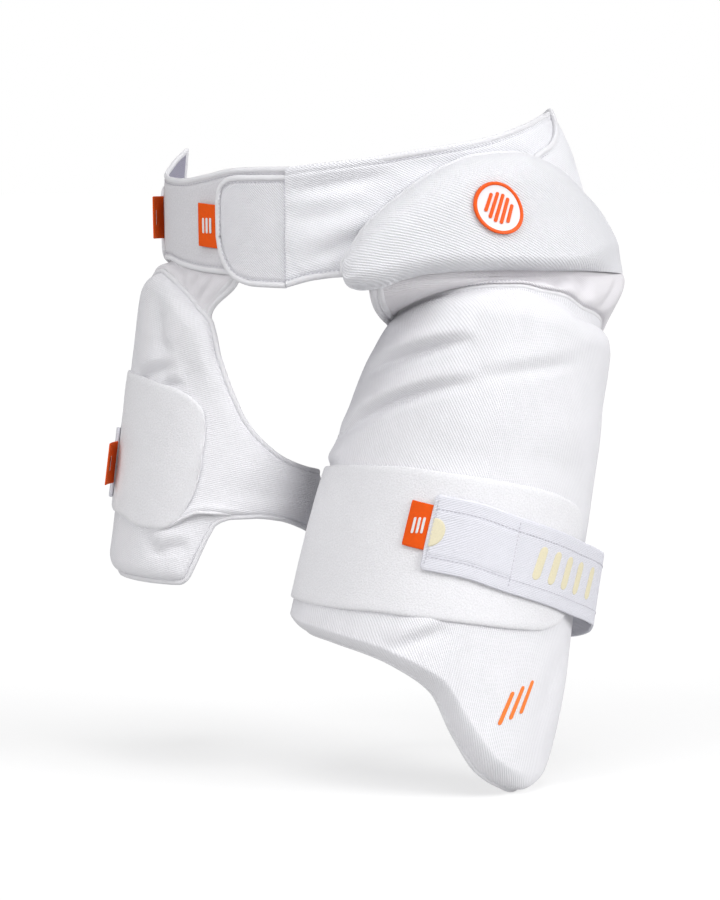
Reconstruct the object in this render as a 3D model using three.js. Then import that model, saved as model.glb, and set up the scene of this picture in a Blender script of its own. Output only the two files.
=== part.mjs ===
// A cricket thigh guard in the form it takes when worn: a waist belt with a hip pad, a moulded
// pad for the front of the wearer's left thigh, a smaller guard for the inside of the right thigh,
// and the elastic straps that hold both. Millimetres, +X to the wearer's left, -Y to the front,
// +Z up. The origin is the middle of the belt's ring, half way up the belt.
import * as THREE from "three";

// Play between pieces
const layerGap = 0.8;
const seamGap = 0.3;

// Driving dimensions
const waist = { width: 302, depth: 208 };
const belt = { height: 88, thickness: 2.4, tabThickness: 2, corner: 7 };
const hipPanel = { thickness: 2.4 };
const hipPad = { height: 97, thickness: 17, edge: 3, bevel: 24 };
const skirt = { drop: 12.3, thickness: 1.8, lap: 8, fullness: 13 };
const gusset = { drop: 7.2, thickness: 1.6, lap: 7, fullness: 1 };
const thighPad = { length: 357, thickness: 17, edge: 3.2, bevel: 17, liner: 3 };
const innerPad = { length: 225, thickness: 10.5, wingThickness: 5, edge: 2.6, bevel: 11, liner: 2.6 };
const loopPanel = { thickness: 1.8 };
const strap = { width: 50, thickness: 2.2, corner: 5 };
const tag = { width: 17, height: 30, thickness: 1.2 };
const badge = { diameter: 37, thickness: 1.3, ringWidth: 3.6, ringRise: 0.8, turn: 29.5, height: 4 };
const leftThigh = { width: 171, depth: 170, x: 97, y: -15, leanOut: 0.2275, leanBack: 0.16 };
const rightThigh = { width: 132, depth: 172, x: -93.3, y: 27, leanOut: 0.12, leanBack: 0.04 };

// Levels, from the belt down
const beltFoot = -belt.height / 2;
const panelFoot = -0.41 * belt.height;
const thighPadTop = beltFoot - skirt.drop;
const innerPadTop = panelFoot - gusset.drop;

// Lifts of the layers off the waist, from the inside out
const tabLift = hipPanel.thickness + layerGap;
const rearLift = tabLift + belt.thickness + layerGap;
const skirtLift = rearLift + belt.thickness / 2;
const hipPadLow = tabLift + belt.thickness + layerGap;
const hipPadHigh = rearLift + belt.thickness + layerGap;

// Small tools

const DEG = Math.PI / 180;

// Rows of numbers with named columns.
function table(names, rows) {
  const keys = names.split(" ");
  return rows.map((row) => Object.fromEntries(row.map((value, k) => [keys[k], value])));
}

// The value in one column where another column holds x, on a smooth curve through the rows
// that never swings past them.
function along(rows, xKey, yKey, x) {
  const last = rows.length - 1;
  const at = THREE.MathUtils.clamp(x, rows[0][xKey], rows[last][xKey]);
  let k = 0;
  while (k < last - 1 && at > rows[k + 1][xKey]) k += 1;
  const run = (i) => rows[i + 1][xKey] - rows[i][xKey];
  const slope = (i) => (rows[i + 1][yKey] - rows[i][yKey]) / run(i);
  const tangent = (i) => {
    if (i === 0) return slope(0);
    if (i === last) return slope(last - 1);
    const product = slope(i - 1) * slope(i);
    return product <= 0 ? 0 : (2 * product) / (slope(i - 1) + slope(i));
  };
  const s = (at - rows[k][xKey]) / run(k);
  const rise = s * s * (3 - 2 * s);
  const out = s * (1 - s) * (1 - s) * run(k) * tangent(k);
  const back = s * s * (1 - s) * run(k) * tangent(k + 1);
  return rows[k][yKey] + (rows[k + 1][yKey] - rows[k][yKey]) * rise + out - back;
}

// 0 before start, 1 after end, and a smooth step between them.
function ramp(x, start, end) {
  const s = THREE.MathUtils.clamp((x - start) / (end - start), 0, 1);
  return s * s * (3 - 2 * s);
}

// The round shoulder of a pad: 0 at its edge and 1 from the bevel's width inwards.
function shoulder(distance, bevel) {
  const s = Math.min(distance / bevel, 1);
  return Math.sqrt(1 - (1 - s) ** 2);
}

// The body inside the guard. Each surface gives a point from a turn about the body's own axis
// (degrees, 0 at the front, + towards the wearer's left), a height and a lift off the body.

// Shares: height of the belt's height, right and left of half the waist's width.
const waistForm = table("height right left", [
  [-1.25, 0.993, 1.12],
  [-0.52, 1.0, 1.116],
  [0.15, 1.007, 0.976],
  [0.51, 0.993, 0.91],
  [0.85, 0.973, 0.815],
]);

function waistPoint(turn, z, lift) {
  const side = Math.sin(turn * DEG) > 0 ? "left" : "right";
  const halfWidth = (waist.width / 2) * along(waistForm, "height", side, z / belt.height) + lift;
  const halfDepth = waist.depth / 2 + lift;
  return new THREE.Vector3(halfWidth * Math.sin(turn * DEG), -halfDepth * Math.cos(turn * DEG), z);
}

// Shares: drop of the thigh pad's length, below its top, and the thigh's inner and outer side of
// half its width.
const leftThighForm = table("drop inner outer", [
  [0.12, 0.826, 0.775],
  [0.23, 0.884, 0.826],
  [0.33, 0.942, 0.88],
  [0.48, 0.988, 0.924],
  [0.65, 1.0, 0.97],
  [0.83, 1.035, 1.035],
  [1.04, 1.047, 1.047],
]);

function leftThighPoint(turn, z, lift) {
  const drop = thighPadTop - z;
  const side = Math.sin(turn * DEG) > 0 ? "outer" : "inner";
  const girth = along(leftThighForm, "drop", side, drop / thighPad.length);
  const halfWidth = (leftThigh.width / 2) * girth + lift;
  const halfDepth = leftThigh.depth / 2 + lift;
  const x = leftThigh.x - leftThigh.leanOut * drop;
  const y = leftThigh.y - leftThigh.leanBack * drop;
  return new THREE.Vector3(x + halfWidth * Math.sin(turn * DEG), y - halfDepth * Math.cos(turn * DEG), z);
}

function rightThighPoint(turn, z, lift) {
  const drop = innerPadTop - z;
  const halfWidth = rightThigh.width / 2 + lift;
  const halfDepth = rightThigh.depth / 2 + lift;
  const x = rightThigh.x - rightThigh.leanOut * drop;
  const y = rightThigh.y - rightThigh.leanBack * drop;
  return new THREE.Vector3(x + halfWidth * Math.sin(turn * DEG), y - halfDepth * Math.cos(turn * DEG), z);
}

// Solids

function solidOf(points, index) {
  const geometry = new THREE.BufferGeometry();
  const positions = points.flatMap((point) => [point.x, point.y, point.z]);
  geometry.setAttribute("position", new THREE.Float32BufferAttribute(positions, 3));
  geometry.setIndex(index);
  geometry.computeVertexNormals();
  return geometry;
}

// A closed solid from two grids of points, one outside the other, with a wall round their rim.
// Columns run with the turn and rows run down.
function closedSheet(outer, inner) {
  const columns = outer.length;
  const rows = outer[0].length;
  const points = [...outer.flat(), ...inner.flat()];
  const out = (i, j) => i * rows + j;
  const inn = (i, j) => columns * rows + i * rows + j;
  const index = [];
  const quad = (a, b, c, d) => index.push(a, b, c, a, c, d);
  for (let i = 0; i < columns - 1; i += 1) {
    for (let j = 0; j < rows - 1; j += 1) {
      quad(out(i, j), out(i, j + 1), out(i + 1, j + 1), out(i + 1, j));
      quad(inn(i, j), inn(i + 1, j), inn(i + 1, j + 1), inn(i, j + 1));
    }
    quad(out(i, 0), out(i + 1, 0), inn(i + 1, 0), inn(i, 0));
    quad(out(i, rows - 1), inn(i, rows - 1), inn(i + 1, rows - 1), out(i + 1, rows - 1));
  }
  for (let j = 0; j < rows - 1; j += 1) {
    quad(out(0, j), inn(0, j), inn(0, j + 1), out(0, j + 1));
    quad(out(columns - 1, j), out(columns - 1, j + 1), inn(columns - 1, j + 1), inn(columns - 1, j));
  }
  return solidOf(points, index);
}

// Numbers from first to last, about a step apart, with two short steps inside a margin at each end.
function spread(first, last, step, margin) {
  const edge = Math.min(margin, (last - first) * 0.3);
  const count = Math.max(1, Math.round((last - first - 2 * edge) / step));
  const list = [];
  for (let k = 0; k <= count; k += 1) list.push(first + edge + ((last - first - 2 * edge) * k) / count);
  if (edge === 0) return list;
  return [first, first + 0.3 * edge, ...list, last - 0.3 * edge, last];
}

function segmentDistance(p, a, b) {
  const along2 = (b[0] - a[0]) ** 2 + (b[1] - a[1]) ** 2;
  const dot = (p[0] - a[0]) * (b[0] - a[0]) + (p[1] - a[1]) * (b[1] - a[1]);
  const s = along2 === 0 ? 0 : THREE.MathUtils.clamp(dot / along2, 0, 1);
  return Math.hypot(p[0] - a[0] - s * (b[0] - a[0]), p[1] - a[1] - s * (b[1] - a[1]));
}

// A layer of the guard. Its plan is a strip of columns at one turn each, from a top edge to a
// bottom edge. Its two faces lie at the lifts that inner and outer give from turn, height and
// the distance to the plan's edge. Ends named in joined carry on into a neighbour, so they are
// not counted as edge.
function layer(options) {
  const { surface, from, to, step, rows, top, bottom, inner, outer } = options;
  const { bevel = 0, corner = 0, joined = [] } = options;
  const middle = (from + to) / 2;
  const height = top(middle) - bottom(middle);
  const perDegree = surface(from, top(middle), 0).distanceTo(surface(from + 1, top(middle), 0));
  const turns = spread(from, to, step, Math.max(bevel, corner) / perDegree);
  const levels = spread(0, 1, 1 / rows, bevel / height);
  const arc = [0];
  for (let i = 1; i < turns.length; i += 1) {
    const level = (top(turns[i]) + bottom(turns[i])) / 2;
    arc.push(arc[i - 1] + surface(turns[i], level, 0).distanceTo(surface(turns[i - 1], level, 0)));
  }
  const length = arc[arc.length - 1];
  const cut = (i) => {
    const fromStart = joined.includes("start") ? corner : Math.min(arc[i], corner);
    const fromEnd = joined.includes("end") ? corner : Math.min(length - arc[i], corner);
    const near = Math.min(fromStart, fromEnd);
    return corner - Math.sqrt(corner ** 2 - (corner - near) ** 2);
  };
  const plan = turns.map((turn, i) => {
    const high = top(turn) - cut(i);
    const low = bottom(turn) + cut(i);
    return levels.map((share) => high + (low - high) * share);
  });
  const upper = plan.map((column, i) => [arc[i], column[0]]);
  const lower = plan.map((column, i) => [arc[i], column[column.length - 1]]);
  const edges = [upper, lower];
  if (!joined.includes("start")) edges.push([upper[0], lower[0]]);
  if (!joined.includes("end")) edges.push([upper[upper.length - 1], lower[lower.length - 1]]);
  const edgeDistance = (p) => {
    let nearest = Infinity;
    for (const edge of edges) {
      for (let k = 0; k < edge.length - 1; k += 1) {
        nearest = Math.min(nearest, segmentDistance(p, edge[k], edge[k + 1]));
      }
    }
    return nearest;
  };
  const face = (lift) =>
    turns.map((turn, i) =>
      plan[i].map((z) => surface(turn, z, lift(turn, z, bevel > 0 ? edgeDistance([arc[i], z]) : 0))),
    );
  return closedSheet(face(outer), face(inner));
}

// A cloth that spans from one surface to another. upper and lower give two places each, for a
// share from 0 to 1 across the cloth: it lies straight between upper's two places, crosses in a
// smooth curve to lower's first place, and lies straight between lower's two. Droop is how far it
// follows upper's run before it turns.
function bridge({ columns, rows, upper, lower, thickness, fullness, droop = 1 }) {
  const crossing = (a, b, r, swell) => {
    const reach = a.point.distanceTo(b.point);
    const blend = r * r * (3 - 2 * r);
    const point = a.point.clone().multiplyScalar(1 - blend);
    point.addScaledVector(b.point, blend);
    point.addScaledVector(a.run, droop * reach * r * (1 - r) * (1 - r));
    point.addScaledVector(b.run, -reach * r * r * (1 - r));
    return point.addScaledVector(a.out, swell * (4 * r * (1 - r)) ** 2);
  };
  const middle = (i, j) => {
    const [start, leave] = upper(i / columns);
    const [arrive, end] = lower(i / columns);
    const swell = fullness(i / columns);
    if (j <= 1) return start.point.clone().lerp(leave.point, j);
    if (j >= rows - 1) return arrive.point.clone().lerp(end.point, j - rows + 1);
    return crossing(leave, arrive, (j - 1) / (rows - 2), swell);
  };
  const face = (side) => {
    const grid = [];
    for (let i = 0; i <= columns; i += 1) {
      grid.push([]);
      for (let j = 0; j <= rows; j += 1) {
        const across = middle(Math.min(i + 0.5, columns), j).sub(middle(Math.max(i - 0.5, 0), j));
        const down = middle(i, Math.min(j + 0.2, rows)).sub(middle(i, Math.max(j - 0.2, 0)));
        const normal = down.cross(across).normalize();
        grid[i].push(middle(i, j).addScaledVector(normal, (side * thickness) / 2));
      }
    }
    return grid;
  };
  return closedSheet(face(1), face(-1));
}

// A point on a surface with the way down the surface and the way out of it.
function seat(surface, turn, z, lift) {
  const point = surface(turn, z, lift);
  const run = surface(turn, z - 1, lift).sub(point).normalize();
  const out = surface(turn, z, lift + 1).sub(point).normalize();
  return { point, run, out };
}

// The depth of the creases of a table at one place: each is a soft groove along a line. Its ends
// are turns and shares of a length down from a top edge, and its width and depth are shares of
// the thickness that it is pressed into.
function creases(rows, { radius, topEdge, length, thickness }) {
  const arc = (degrees) => degrees * DEG * radius;
  return (turn, z) => {
    let depth = 0;
    for (const row of rows) {
      const a = [arc(row.turnA), topEdge - row.dropA * length];
      const b = [arc(row.turnB), topEdge - row.dropB * length];
      const near = segmentDistance([arc(turn), z], a, b) / (row.width * thickness);
      depth += row.depth * thickness * Math.exp(-near * near);
    }
    return depth;
  };
}

// Belt

// Shares of the belt's height, from its middle.
const hipPanelPlan = table("turn top bottom", [
  [-112.4, 0.52, -0.36],
  [-104, 0.43, -0.38],
  [-97, 0.36, -0.39],
  [-88, 0.31, -0.39],
  [-77, 0.28, -0.39],
  [-64, 0.265, -0.44],
  [-52, 0.3, -0.475],
  [-41, 0.35, -0.49],
  [-30, 0.36, -0.49],
  [-14, 0.36, -0.47],
]);

const tabPlan = table("turn top bottom", [
  [-46, 0.1, -0.19],
  [-45.2, 0.2, -0.31],
  [-43.8, 0.25, -0.41],
  [-41.3, 0.285, -0.5],
  [-38, 0.295, -0.555],
  [-33.5, 0.295, -0.585],
  [-23.6, 0.3, -0.595],
]);

const frontBeltPlan = table("turn top bottom", [
  [-23.3, 0.355, -0.585],
  [-15.5, 0.385, -0.525],
  [-7.5, 0.41, -0.5],
  [3.5, 0.455, -0.5],
  [13, 0.5, -0.5],
  [34, 0.59, -0.5],
  [53.5, 0.705, -0.5],
  [72.5, 0.795, -0.5],
  [86, 0.82, -0.5],
]);

// Soft creases across the front of the belt.
const beltFolds = table("turnA dropA turnB dropB width depth", [
  [-20, 0.28, 3, 0.15, 2.6, 0.5],
  [-17, 0.86, -2, 0.58, 2.6, 0.5],
  [-19, 0.97, -10, 0.92, 2, 0.35],
]);

const rearBeltPlan = table("turn top bottom", [
  [45, -0.33, -0.41],
  [46.5, -0.12, -0.41],
  [48.5, 0.12, -0.41],
  [52, 0.45, -0.41],
  [64, 0.56, -0.41],
  [74, 0.68, -0.41],
  [86, 0.82, -0.41],
  [92, 0.85, -0.41],
  [112, 0.78, -0.41],
  [130, 0.66, -0.46],
  [180, 0.44, -0.55],
  [230, 0.24, -0.52],
  [240, 0.23, -0.5],
]);

// Lift of the rear belt: outside the front belt at the wearer's left, level with it behind.
const rearBeltLifts = table("turn lift", [
  [86, rearLift],
  [100, rearLift],
  [140, tabLift],
  [180, tabLift],
]);

const rearTabPlan = table("turn top bottom", [
  [240.3, 0.23, -0.5],
  [258, 0.22, -0.43],
  [266, 0.18, -0.37],
]);

function beltEdges(plan) {
  return {
    from: plan[0].turn,
    to: plan[plan.length - 1].turn,
    top: (turn) => belt.height * along(plan, "turn", "top", turn),
    bottom: (turn) => belt.height * along(plan, "turn", "bottom", turn),
  };
}

function beltLayer(plan, lift, thickness, options) {
  const inner = (turn, z) => lift(turn, z);
  const outer = (turn, z) => lift(turn, z) + thickness;
  return layer({ surface: waistPoint, step: 5, rows: 6, ...beltEdges(plan), inner, outer, ...options });
}

const hipPanelSolid = () => beltLayer(hipPanelPlan, () => 0, hipPanel.thickness, {});

const tabSolid = () => beltLayer(tabPlan, () => tabLift, belt.tabThickness, { step: 2.5 });

function frontBeltSolid() {
  const crease = creases(beltFolds, {
    radius: waist.depth / 2,
    topEdge: belt.height / 2,
    length: belt.height,
    thickness: belt.thickness,
  });
  const outer = (turn, z) => tabLift + belt.thickness - crease(turn, z);
  return beltLayer(frontBeltPlan, () => tabLift, belt.thickness, { step: 4.5, rows: 7, outer });
}

function rearBeltSolid() {
  const lift = (turn) => along(rearBeltLifts, "turn", "lift", turn);
  const spec = beltEdges(rearBeltPlan);
  const outer = (turn) => lift(turn) + belt.thickness;
  return layer({ surface: waistPoint, step: 5, rows: 7, ...spec, inner: lift, outer });
}

const rearTabSolid = () =>
  beltLayer(rearTabPlan, () => tabLift, belt.tabThickness, { joined: ["start"], corner: belt.corner });

// A woven tag sewn to the end of a tab or strap, at a turn and height. It runs from there over
// its width, in the direction of way, drops by slant on the way and stands off by flare.
function tagSolid({ surface, turn, z, lift, way = -1, slant = 0, flare = 0 }) {
  const perDegree = surface(turn, z, lift).distanceTo(surface(turn + 1, z, lift));
  const free = turn + (way * tag.width) / perDegree;
  const share = (at) => (at - turn) / (free - turn);
  return layer({
    surface,
    from: Math.min(turn, free),
    to: Math.max(turn, free),
    step: 2.5,
    rows: 2,
    top: (at) => z + tag.height / 2 - slant * share(at),
    bottom: (at) => z - tag.height / 2 - slant * share(at),
    inner: (at) => lift + flare * share(at),
    outer: (at) => lift + flare * share(at) + tag.thickness,
  });
}

// Hip pad

// Shares of the hip pad's height, from the belt's middle.
const hipPadPlan = table("turn top bottom", [
  [-8, -0.35, -0.43],
  [-7, -0.31, -0.5],
  [-5.5, -0.24, -0.53],
  [-3, -0.125, -0.545],
  [1.5, 0.01, -0.53],
  [6.5, 0.124, -0.475],
  [13.5, 0.258, -0.435],
  [20.5, 0.35, -0.42],
  [27.5, 0.412, -0.415],
  [34, 0.433, -0.415],
  [41.5, 0.443, -0.42],
  [49, 0.412, -0.425],
  [57.5, 0.34, -0.43],
  [64, 0.258, -0.44],
  [70, 0.17, -0.45],
  [77, 0.11, -0.46],
  [85, 0.04, -0.475],
  [93, -0.06, -0.48],
  [100, -0.17, -0.48],
  [106, -0.29, -0.475],
  [109, -0.36, -0.46],
]);

// The pad thins out towards its rear end: share of its thickness.
const hipPadBuild = table("turn share", [
  [38, 1],
  [62, 0.8],
  [80, 0.52],
  [109, 0.45],
]);

// The pad lies on the front belt at its fore edge and steps up over the rear belt and the skirt.
function hipPadInner(turn, z) {
  const overRear = ramp(turn, rearBeltPlan[0].turn - 9, rearBeltPlan[0].turn - 2);
  const overSkirt = ramp(-z, -panelFoot - 14, -panelFoot - 3);
  return hipPadLow + (hipPadHigh - hipPadLow) * Math.max(overRear, overSkirt);
}

// The pad's outer face has one lift all over, so that it doesn't repeat the step under it.
function hipPadOuter(turn, z, distance) {
  const build = hipPad.thickness * along(hipPadBuild, "turn", "share", turn);
  const crown = hipPad.edge + (build - hipPad.edge) * shoulder(distance, hipPad.bevel);
  const full = hipPadHigh + crown;
  const low = hipPadInner(turn, z) + crown;
  return low + (full - low) * shoulder(distance, hipPad.bevel);
}

function hipPadSolid() {
  return layer({
    surface: waistPoint,
    from: hipPadPlan[0].turn,
    to: hipPadPlan[hipPadPlan.length - 1].turn,
    step: 6,
    rows: 6,
    bevel: hipPad.bevel * 0.6,
    top: (turn) => hipPad.height * along(hipPadPlan, "turn", "top", turn),
    bottom: (turn) => hipPad.height * along(hipPadPlan, "turn", "bottom", turn),
    inner: hipPadInner,
    outer: hipPadOuter,
  });
}

// Round moulded badge on the hip pad: a disc with a raised rim, as a profile of radius and rise
// turned about the badge's middle and bent to the pad.
function badgeSolid() {
  const sides = 22;
  const radius = badge.diameter / 2;
  const rim = badge.thickness + badge.ringRise;
  const profile = [
    [radius * 0.45, badge.thickness],
    [radius - badge.ringWidth - badge.ringRise, badge.thickness],
    [radius - badge.ringWidth, rim],
    [radius, rim],
    [radius, 0],
    [radius * 0.45, 0],
  ];
  const seatLift = hipPadHigh + hipPad.thickness + layerGap / 2;
  const here = waistPoint(badge.turn, badge.height, seatLift);
  const perDegree = here.distanceTo(waistPoint(badge.turn + 1, badge.height, seatLift));
  const place = (from, angle, rise) => {
    const turn = badge.turn + (from * Math.cos(angle)) / perDegree;
    return waistPoint(turn, badge.height + from * Math.sin(angle), seatLift + rise);
  };
  const points = [place(0, 0, badge.thickness), place(0, 0, 0)];
  for (const [from, rise] of profile) {
    for (let k = 0; k < sides; k += 1) points.push(place(from, (2 * Math.PI * k) / sides, rise));
  }
  const at = (row, k) => 2 + row * sides + (k % sides);
  const index = [];
  for (let k = 0; k < sides; k += 1) {
    index.push(0, at(0, k), at(0, k + 1));
    index.push(1, at(profile.length - 1, k + 1), at(profile.length - 1, k));
    for (let row = 0; row < profile.length - 1; row += 1) {
      index.push(at(row, k), at(row + 1, k), at(row + 1, k + 1));
      index.push(at(row, k), at(row + 1, k + 1), at(row, k + 1));
    }
  }
  return solidOf(points, index);
}

// Skirt and gusset

// Which turn of the waist each column of the skirt leaves, which turn of the thigh it meets, and
// how far it stands out between them, as a share of its fullness.
const skirtPlan = table("share waist thigh fullness", [
  [0, -2, -90, 0],
  [0.1, 9, -70, 0.1],
  [0.22, 21, -38, 0.15],
  [0.34, 31, -8, 0.2],
  [0.45, 41, 14, 0.25],
  [0.57, 51, 32, 0.35],
  [0.68, 61, 48, 0.55],
  [0.8, 76, 68, 0.95],
  [0.9, 92, 84, 1],
  [1, 112, 96, 0.7],
]);

function skirtSolid() {
  const underPad = (thighPad.liner - layerGap) / 2;
  return bridge({
    columns: 25,
    rows: 8,
    thickness: skirt.thickness,
    fullness: (share) => skirt.fullness * along(skirtPlan, "share", "fullness", share),
    droop: 1.7,
    upper: (share) => {
      const turn = along(skirtPlan, "share", "waist", share);
      const levels = [panelFoot - seamGap, beltFoot - skirt.thickness];
      return levels.map((z) => seat(waistPoint, turn, z, skirtLift));
    },
    lower: (share) => {
      const turn = along(skirtPlan, "share", "thigh", share);
      const edge = thighPadEdge("top", turn);
      const levels = [edge + 2 * skirt.thickness, edge - skirt.lap];
      return levels.map((z) => seat(leftThighPoint, turn, z, underPad));
    },
  });
}

const gussetPlan = table("share waist thigh", [
  [0, -93, -86],
  [0.2, -82, -66],
  [0.45, -66, -45],
  [0.75, -51, -28],
  [1, -40, -17],
]);

function gussetSolid() {
  const underPad = (innerPad.liner - layerGap) / 2;
  return bridge({
    columns: 11,
    rows: 7,
    thickness: gusset.thickness,
    fullness: () => gusset.fullness,
    upper: (share) => {
      const turn = along(gussetPlan, "share", "waist", share);
      const foot = belt.height * along(hipPanelPlan, "turn", "bottom", turn);
      const lift = -layerGap - gusset.thickness / 2;
      return [foot + gusset.lap, foot - gusset.thickness].map((z) => seat(waistPoint, turn, z, lift));
    },
    lower: (share) => {
      const turn = along(gussetPlan, "share", "thigh", share);
      const edge = innerPadTop - innerPad.length * along(innerPadPlan, "turn", "top", turn);
      const levels = [edge + gusset.thickness, edge - gusset.lap];
      return levels.map((z) => seat(rightThighPoint, turn, z, underPad));
    },
  });
}

// Left thigh pad

// Shares of the pad's length, down from its top.
const thighPadPlan = table("turn top bottom", [
  [-92, 0.104, 0.682],
  [-84, 0.088, 0.684],
  [-73, 0.066, 0.688],
  [-56, 0.038, 0.691],
  [-39, 0.015, 0.7],
  [-25, 0.005, 0.713],
  [-11, 0, 0.737],
  [4, 0.002, 0.778],
  [18, 0.015, 0.864],
  [34, 0.031, 0.942],
  [49, 0.058, 0.977],
  [63, 0.072, 0.995],
  [76, 0.088, 0.986],
  [85, 0.108, 0.955],
  [92, 0.14, 0.905],
  [97, 0.18, 0.84],
]);

// Creases of the moulded foam.
const thighPadFolds = table("turnA dropA turnB dropB width depth", [
  [-64, 0.15, -20, 0.092, 0.42, 0.2],
  [-72, 0.275, -37, 0.195, 0.5, 0.22],
  [-37, 0.195, -10, 0.165, 0.45, 0.16],
  [-4, 0.155, 38, 0.128, 0.45, 0.1],
  [-88, 0.365, -72, 0.338, 0.35, 0.14],
  [-11, 0.68, 2, 0.655, 0.4, 0.12],
]);

function thighPadEdge(key, turn) {
  return thighPadTop - thighPad.length * along(thighPadPlan, "turn", key, turn);
}

// Lift of the pad's face away from its creases, for what lies on it.
const thighPadFace = thighPad.liner + thighPad.thickness;

function thighPadSolid() {
  const crease = creases(thighPadFolds, {
    radius: (leftThigh.width + leftThigh.depth) / 4,
    topEdge: thighPadTop,
    length: thighPad.length,
    thickness: thighPad.thickness,
  });
  return layer({
    surface: leftThighPoint,
    from: thighPadPlan[0].turn,
    to: thighPadPlan[thighPadPlan.length - 1].turn,
    step: 7.5,
    rows: 17,
    bevel: thighPad.bevel,
    top: (turn) => thighPadEdge("top", turn),
    bottom: (turn) => thighPadEdge("bottom", turn),
    inner: () => thighPad.liner,
    outer: (turn, z, distance) => {
      const full = thighPad.thickness - thighPad.edge - crease(turn, z);
      return thighPad.liner + thighPad.edge + full * shoulder(distance, thighPad.bevel);
    },
  });
}

// Shares of the thigh pad's length, down from its top.
const thighLoopPlan = table("turn top bottom", [
  [-84, 0.364, 0.622],
  [-60, 0.35, 0.62],
  [-29, 0.344, 0.62],
  [-8, 0.354, 0.628],
  [12, 0.368, 0.64],
  [35, 0.392, 0.658],
  [48, 0.412, 0.665],
  [57, 0.43, 0.66],
  [63, 0.452, 0.642],
  [67, 0.48, 0.61],
]);

function thighLoopSolid() {
  return layer({
    surface: leftThighPoint,
    from: thighLoopPlan[0].turn,
    to: thighLoopPlan[thighLoopPlan.length - 1].turn,
    step: 7,
    rows: 6,
    top: (turn) => thighPadTop - thighPad.length * along(thighLoopPlan, "turn", "top", turn),
    bottom: (turn) => thighPadTop - thighPad.length * along(thighLoopPlan, "turn", "bottom", turn),
    inner: () => thighPadFace + layerGap,
    outer: () => thighPadFace + layerGap + loopPanel.thickness,
  });
}

// Straps: turn, height of the middle line as a share of the pad's length down from its top, and
// lift as a share from 0, under the pad's liner, to 1, on the loop panel.
const thighStrapPath = table("turn drop lift", [
  [-11, 0.463, 1],
  [6, 0.48, 1],
  [22, 0.507, 1],
  [50, 0.552, 1],
  [62, 0.572, 1.04],
  [74, 0.59, 1.22],
  [86, 0.607, 1.43],
  [98, 0.625, 1.42],
  [112, 0.642, 1.15],
  [135, 0.65, 0.6],
  [165, 0.64, 0.25],
  [200, 0.615, 0.1],
  [240, 0.575, 0.03],
  [262, 0.55, 0],
  [276, 0.535, 0],
]);

function strapSolid({ surface, path, topEdge, length, low, high, joined }) {
  const lift = (turn) => low + (high - low) * along(path, "turn", "lift", turn);
  const middle = (turn) => topEdge - length * along(path, "turn", "drop", turn);
  return layer({
    surface,
    from: path[0].turn,
    to: path[path.length - 1].turn,
    step: 7,
    rows: 3,
    corner: strap.corner,
    joined,
    top: (turn) => middle(turn) + strap.width / 2,
    bottom: (turn) => middle(turn) - strap.width / 2,
    inner: lift,
    outer: (turn) => lift(turn) + strap.thickness,
  });
}

const underLiner = 0.2;
const thighStrapLift = thighPadFace + 2 * layerGap + loopPanel.thickness;

const thighStrapSolid = () =>
  strapSolid({
    surface: leftThighPoint,
    path: thighStrapPath,
    topEdge: thighPadTop,
    length: thighPad.length,
    low: underLiner,
    high: thighStrapLift,
    joined: ["end"],
  });

// Right thigh guard

// Shares of the guard's length, down from its top.
const innerPadPlan = table("turn top bottom", [
  [-90, 0.115, 0.94],
  [-86, 0.06, 0.975],
  [-80, 0.028, 0.992],
  [-70, 0.008, 1],
  [-62, 0, 1],
  [-51, 0.018, 1],
  [-34, 0.071, 1],
  [-24, 0.12, 1],
  [-17, 0.155, 0.996],
  [-13, 0.205, 0.978],
  [-9.5, 0.262, 0.93],
  [-8, 0.283, 0.87],
]);

const innerWingPlan = table("turn top bottom", [
  [-7.6, 0.288, 0.818],
  [-1, 0.364, 0.808],
  [5, 0.425, 0.792],
  [10, 0.471, 0.787],
  [23, 0.547, 0.787],
  [40, 0.609, 0.8],
  [62, 0.649, 0.836],
  [90, 0.676, 0.885],
]);

// How thick the guard is round the thigh, as a share from the wing's thickness to the pad's.
const innerGuardBuild = table("turn share", [
  [-60, 1],
  [-20, 0.95],
  [-8, 0.4],
  [5, 0.05],
  [30, 0],
]);

function innerGuardFace(turn, distance) {
  const share = along(innerGuardBuild, "turn", "share", turn);
  const full = innerPad.wingThickness + (innerPad.thickness - innerPad.wingThickness) * share;
  return innerPad.liner + innerPad.edge + (full - innerPad.edge) * shoulder(distance, innerPad.bevel);
}

function innerGuardSolid(plan, step, rows, joined) {
  return layer({
    surface: rightThighPoint,
    from: plan[0].turn,
    to: plan[plan.length - 1].turn,
    step,
    rows,
    bevel: innerPad.bevel,
    joined,
    top: (turn) => innerPadTop - innerPad.length * along(plan, "turn", "top", turn),
    bottom: (turn) => innerPadTop - innerPad.length * along(plan, "turn", "bottom", turn),
    inner: () => innerPad.liner,
    outer: (turn, z, distance) => innerGuardFace(turn, distance),
  });
}

const innerLoopPlan = table("turn top bottom", [
  [-84, 0.338, 0.788],
  [-60, 0.345, 0.796],
  [-44, 0.36, 0.82],
  [-30, 0.378, 0.822],
  [-21, 0.402, 0.795],
  [-16, 0.425, 0.745],
  [-12.5, 0.455, 0.69],
  [-11, 0.49, 0.63],
]);

const onInnerGuard = (turn) => innerGuardFace(turn, innerPad.bevel) + layerGap;

function innerLoopSolid() {
  return layer({
    surface: rightThighPoint,
    from: innerLoopPlan[0].turn,
    to: innerLoopPlan[innerLoopPlan.length - 1].turn,
    step: 6,
    rows: 6,
    top: (turn) => innerPadTop - innerPad.length * along(innerLoopPlan, "turn", "top", turn),
    bottom: (turn) => innerPadTop - innerPad.length * along(innerLoopPlan, "turn", "bottom", turn),
    inner: onInnerGuard,
    outer: (turn) => onInnerGuard(turn) + loopPanel.thickness,
  });
}

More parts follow.
